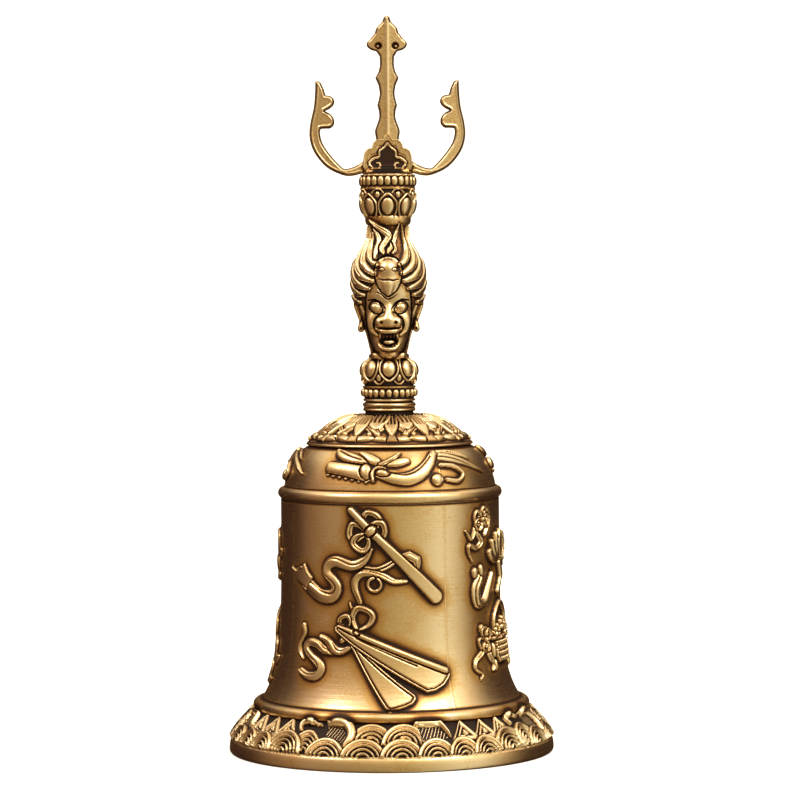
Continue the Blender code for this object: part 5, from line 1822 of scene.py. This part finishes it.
# A broad light overhead that is the same from all sides, and its share by elevation
OVERHEAD = (1.35, 1.16, 0.80)
OVERHEAD_SHARE = ((-90, 0), (24, 0), (54, 1), (90, 1))
# The ramps hold no level over 1, so the world multiplies what they give
WORLD_STRENGTH = 4.0
PALE_FLOOR = (0.86, 0.86, 0.86)


def studio_floor():
    """A pale sheet that curves up behind the bell. It glows a little for the eye only."""
    side, front, foot, bend, rise = 1.2, -1.0, 0.35, 0.4, 1.4
    line = [(front, 0.0), (foot, 0.0), *arc((foot, bend), bend, -90, 0, 10), (foot + bend, rise)]
    verts = [(x, y, z) for x in (-side, side) for y, z in line]
    count = len(line)
    faces = [(i, i + count, i + count + 1, i + 1) for i in range(count - 1)]
    mesh = bpy.data.meshes.new("floor")
    mesh.from_pydata(verts, [], faces)
    mesh.shade_smooth()
    material = bpy.data.materials.new("pale_floor")
    nodes = Nodes(material)
    add, link, maths = nodes.add, nodes.link, nodes.maths
    shader = add("ShaderNodeBsdfPrincipled")
    shader.inputs["Base Color"].default_value = (*PALE_FLOOR, 1)
    shader.inputs["Roughness"].default_value = 0.7
    shader.inputs["Emission Color"].default_value = (1, 1, 1, 1)
    seen = add("ShaderNodeLightPath").outputs["Is Camera Ray"]
    link(maths("MULTIPLY", seen, 0.55), shader.inputs["Emission Strength"])
    out = add("ShaderNodeOutputMaterial")
    link(shader.outputs[0], out.inputs[0])
    mesh.materials.append(material)
    obj = bpy.data.objects.new("floor", mesh)
    obj.visible_glossy = False
    bpy.context.scene.collection.objects.link(obj)


def surroundings():
    """A warm dark room with broad soft light from the right, less from the left, and most from above."""
    world = bpy.data.worlds.new("studio")
    bpy.context.scene.world = world
    nodes = Nodes(world)
    add, link, maths = nodes.add, nodes.link, nodes.maths

    def by_elevation(steps):
        """A level from (degrees, level) steps of elevation."""
        steps = [(degrees / 180 + 0.5, (level,) * 3) for degrees, level in steps]
        return nodes.colour_steps(upwards, steps, "EASE")

    axes = add("ShaderNodeSeparateXYZ")
    link(add("ShaderNodeTexCoord").outputs["Generated"], axes.inputs[0])
    around = maths("ARCTAN2", axes.outputs[0], maths("MULTIPLY", axes.outputs[1], -1.0))
    around = maths("MULTIPLY_ADD", around, 1 / (2 * pi), 0.5)
    upwards = maths("MULTIPLY_ADD", maths("ARCSINE", axes.outputs[2]), 1 / pi, 0.5)
    colour = nodes.colour_steps(around, [(angle / 360 + 0.5, light) for angle, light in AROUND], "EASE")
    level = by_elevation([(angle, share / WORLD_STRENGTH) for angle, share in UPWARDS])
    product = add("ShaderNodeVectorMath", operation="MULTIPLY")
    link(colour, product.inputs[0])
    link(level, product.inputs[1])
    mix = add("ShaderNodeMix", data_type="RGBA")
    link(by_elevation(OVERHEAD_SHARE), mix.inputs[0])
    link(product.outputs[0], mix.inputs[6])
    mix.inputs[7].default_value = (*(part / WORLD_STRENGTH for part in OVERHEAD), 1)
    background = add("ShaderNodeBackground")
    link(mix.outputs[2], background.inputs[0])
    background.inputs[1].default_value = WORLD_STRENGTH
    out = add("ShaderNodeOutputWorld")
    link(background.outputs[0], out.inputs[0])


def softbox(name, azimuth, elevation, distance, width, tall, power):
    """An area light that looks at the bell's shoulder. Azimuth 0 is the viewer's side, growing towards +X."""
    target = Vector((0, 0, 0.09))
    light = bpy.data.lights.new(name, "AREA")
    light.shape = "RECTANGLE"
    light.size, light.size_y = width, tall
    light.energy = power
    light.color = (1.0, 0.97, 0.92)
    obj = bpy.data.objects.new(name, light)
    a, e = radians(azimuth), radians(elevation)
    spot = Vector((distance * sin(a) * cos(e), -distance * cos(a) * cos(e), distance * sin(e)))
    obj.location = spot + target
    obj.rotation_euler = (-spot).to_track_quat("-Z", "Y").to_euler()
    bpy.context.scene.collection.objects.link(obj)


def studio():
    """The surroundings, two lamps for clear highlights, and colours shown as they are."""
    surroundings()
    softbox("key_right", azimuth=40, elevation=46, distance=0.62, width=0.3, tall=0.3, power=1.6)
    softbox("fill_left", azimuth=-62, elevation=48, distance=0.7, width=0.2, tall=0.3, power=1.2)
    bpy.context.scene.view_settings.view_transform = "Standard"
    bpy.context.scene.view_settings.look = "None"


def camera():
    """The eye is a little above the grip's foot, nine tenths of a metre away, and turned slightly down."""
    aside, away, up = 3.2 * MM, 0.91, 0.1304
    down, roll = 2.09, 0.4
    data = bpy.data.cameras.new("camera")
    data.lens = 148.0
    data.clip_start = 0.05
    obj = bpy.data.objects.new("camera", data)
    obj.location = (aside, -away, up)
    obj.rotation_euler = (radians(90 - down), radians(roll), 0)
    bpy.context.scene.collection.objects.link(obj)
    bpy.context.scene.camera = obj


def main():
    """Builds every piece, then the room and the camera."""
    wall_brass = metal("antique_brass_turned", BRASS, rolled_out=True)
    clay_brass = metal("antique_brass_cast", BRASS, gain=1.1, pits=0.8)
    dark_brass = metal("dark_brass", DARK_BRASS, gain=0.8, polish=0.38)
    steel = metal("plated_steel", STEEL, gain=0.7, polish=0.36)
    for build in (cup, lotus_dome, collar, lotus_seat, lotus_cup):
        build(wall_brass)
    for build in (grip, trident, spear):
        build(clay_brass)
    fastenings(steel, dark_brass)
    studio_floor()
    studio()
    camera()


main()
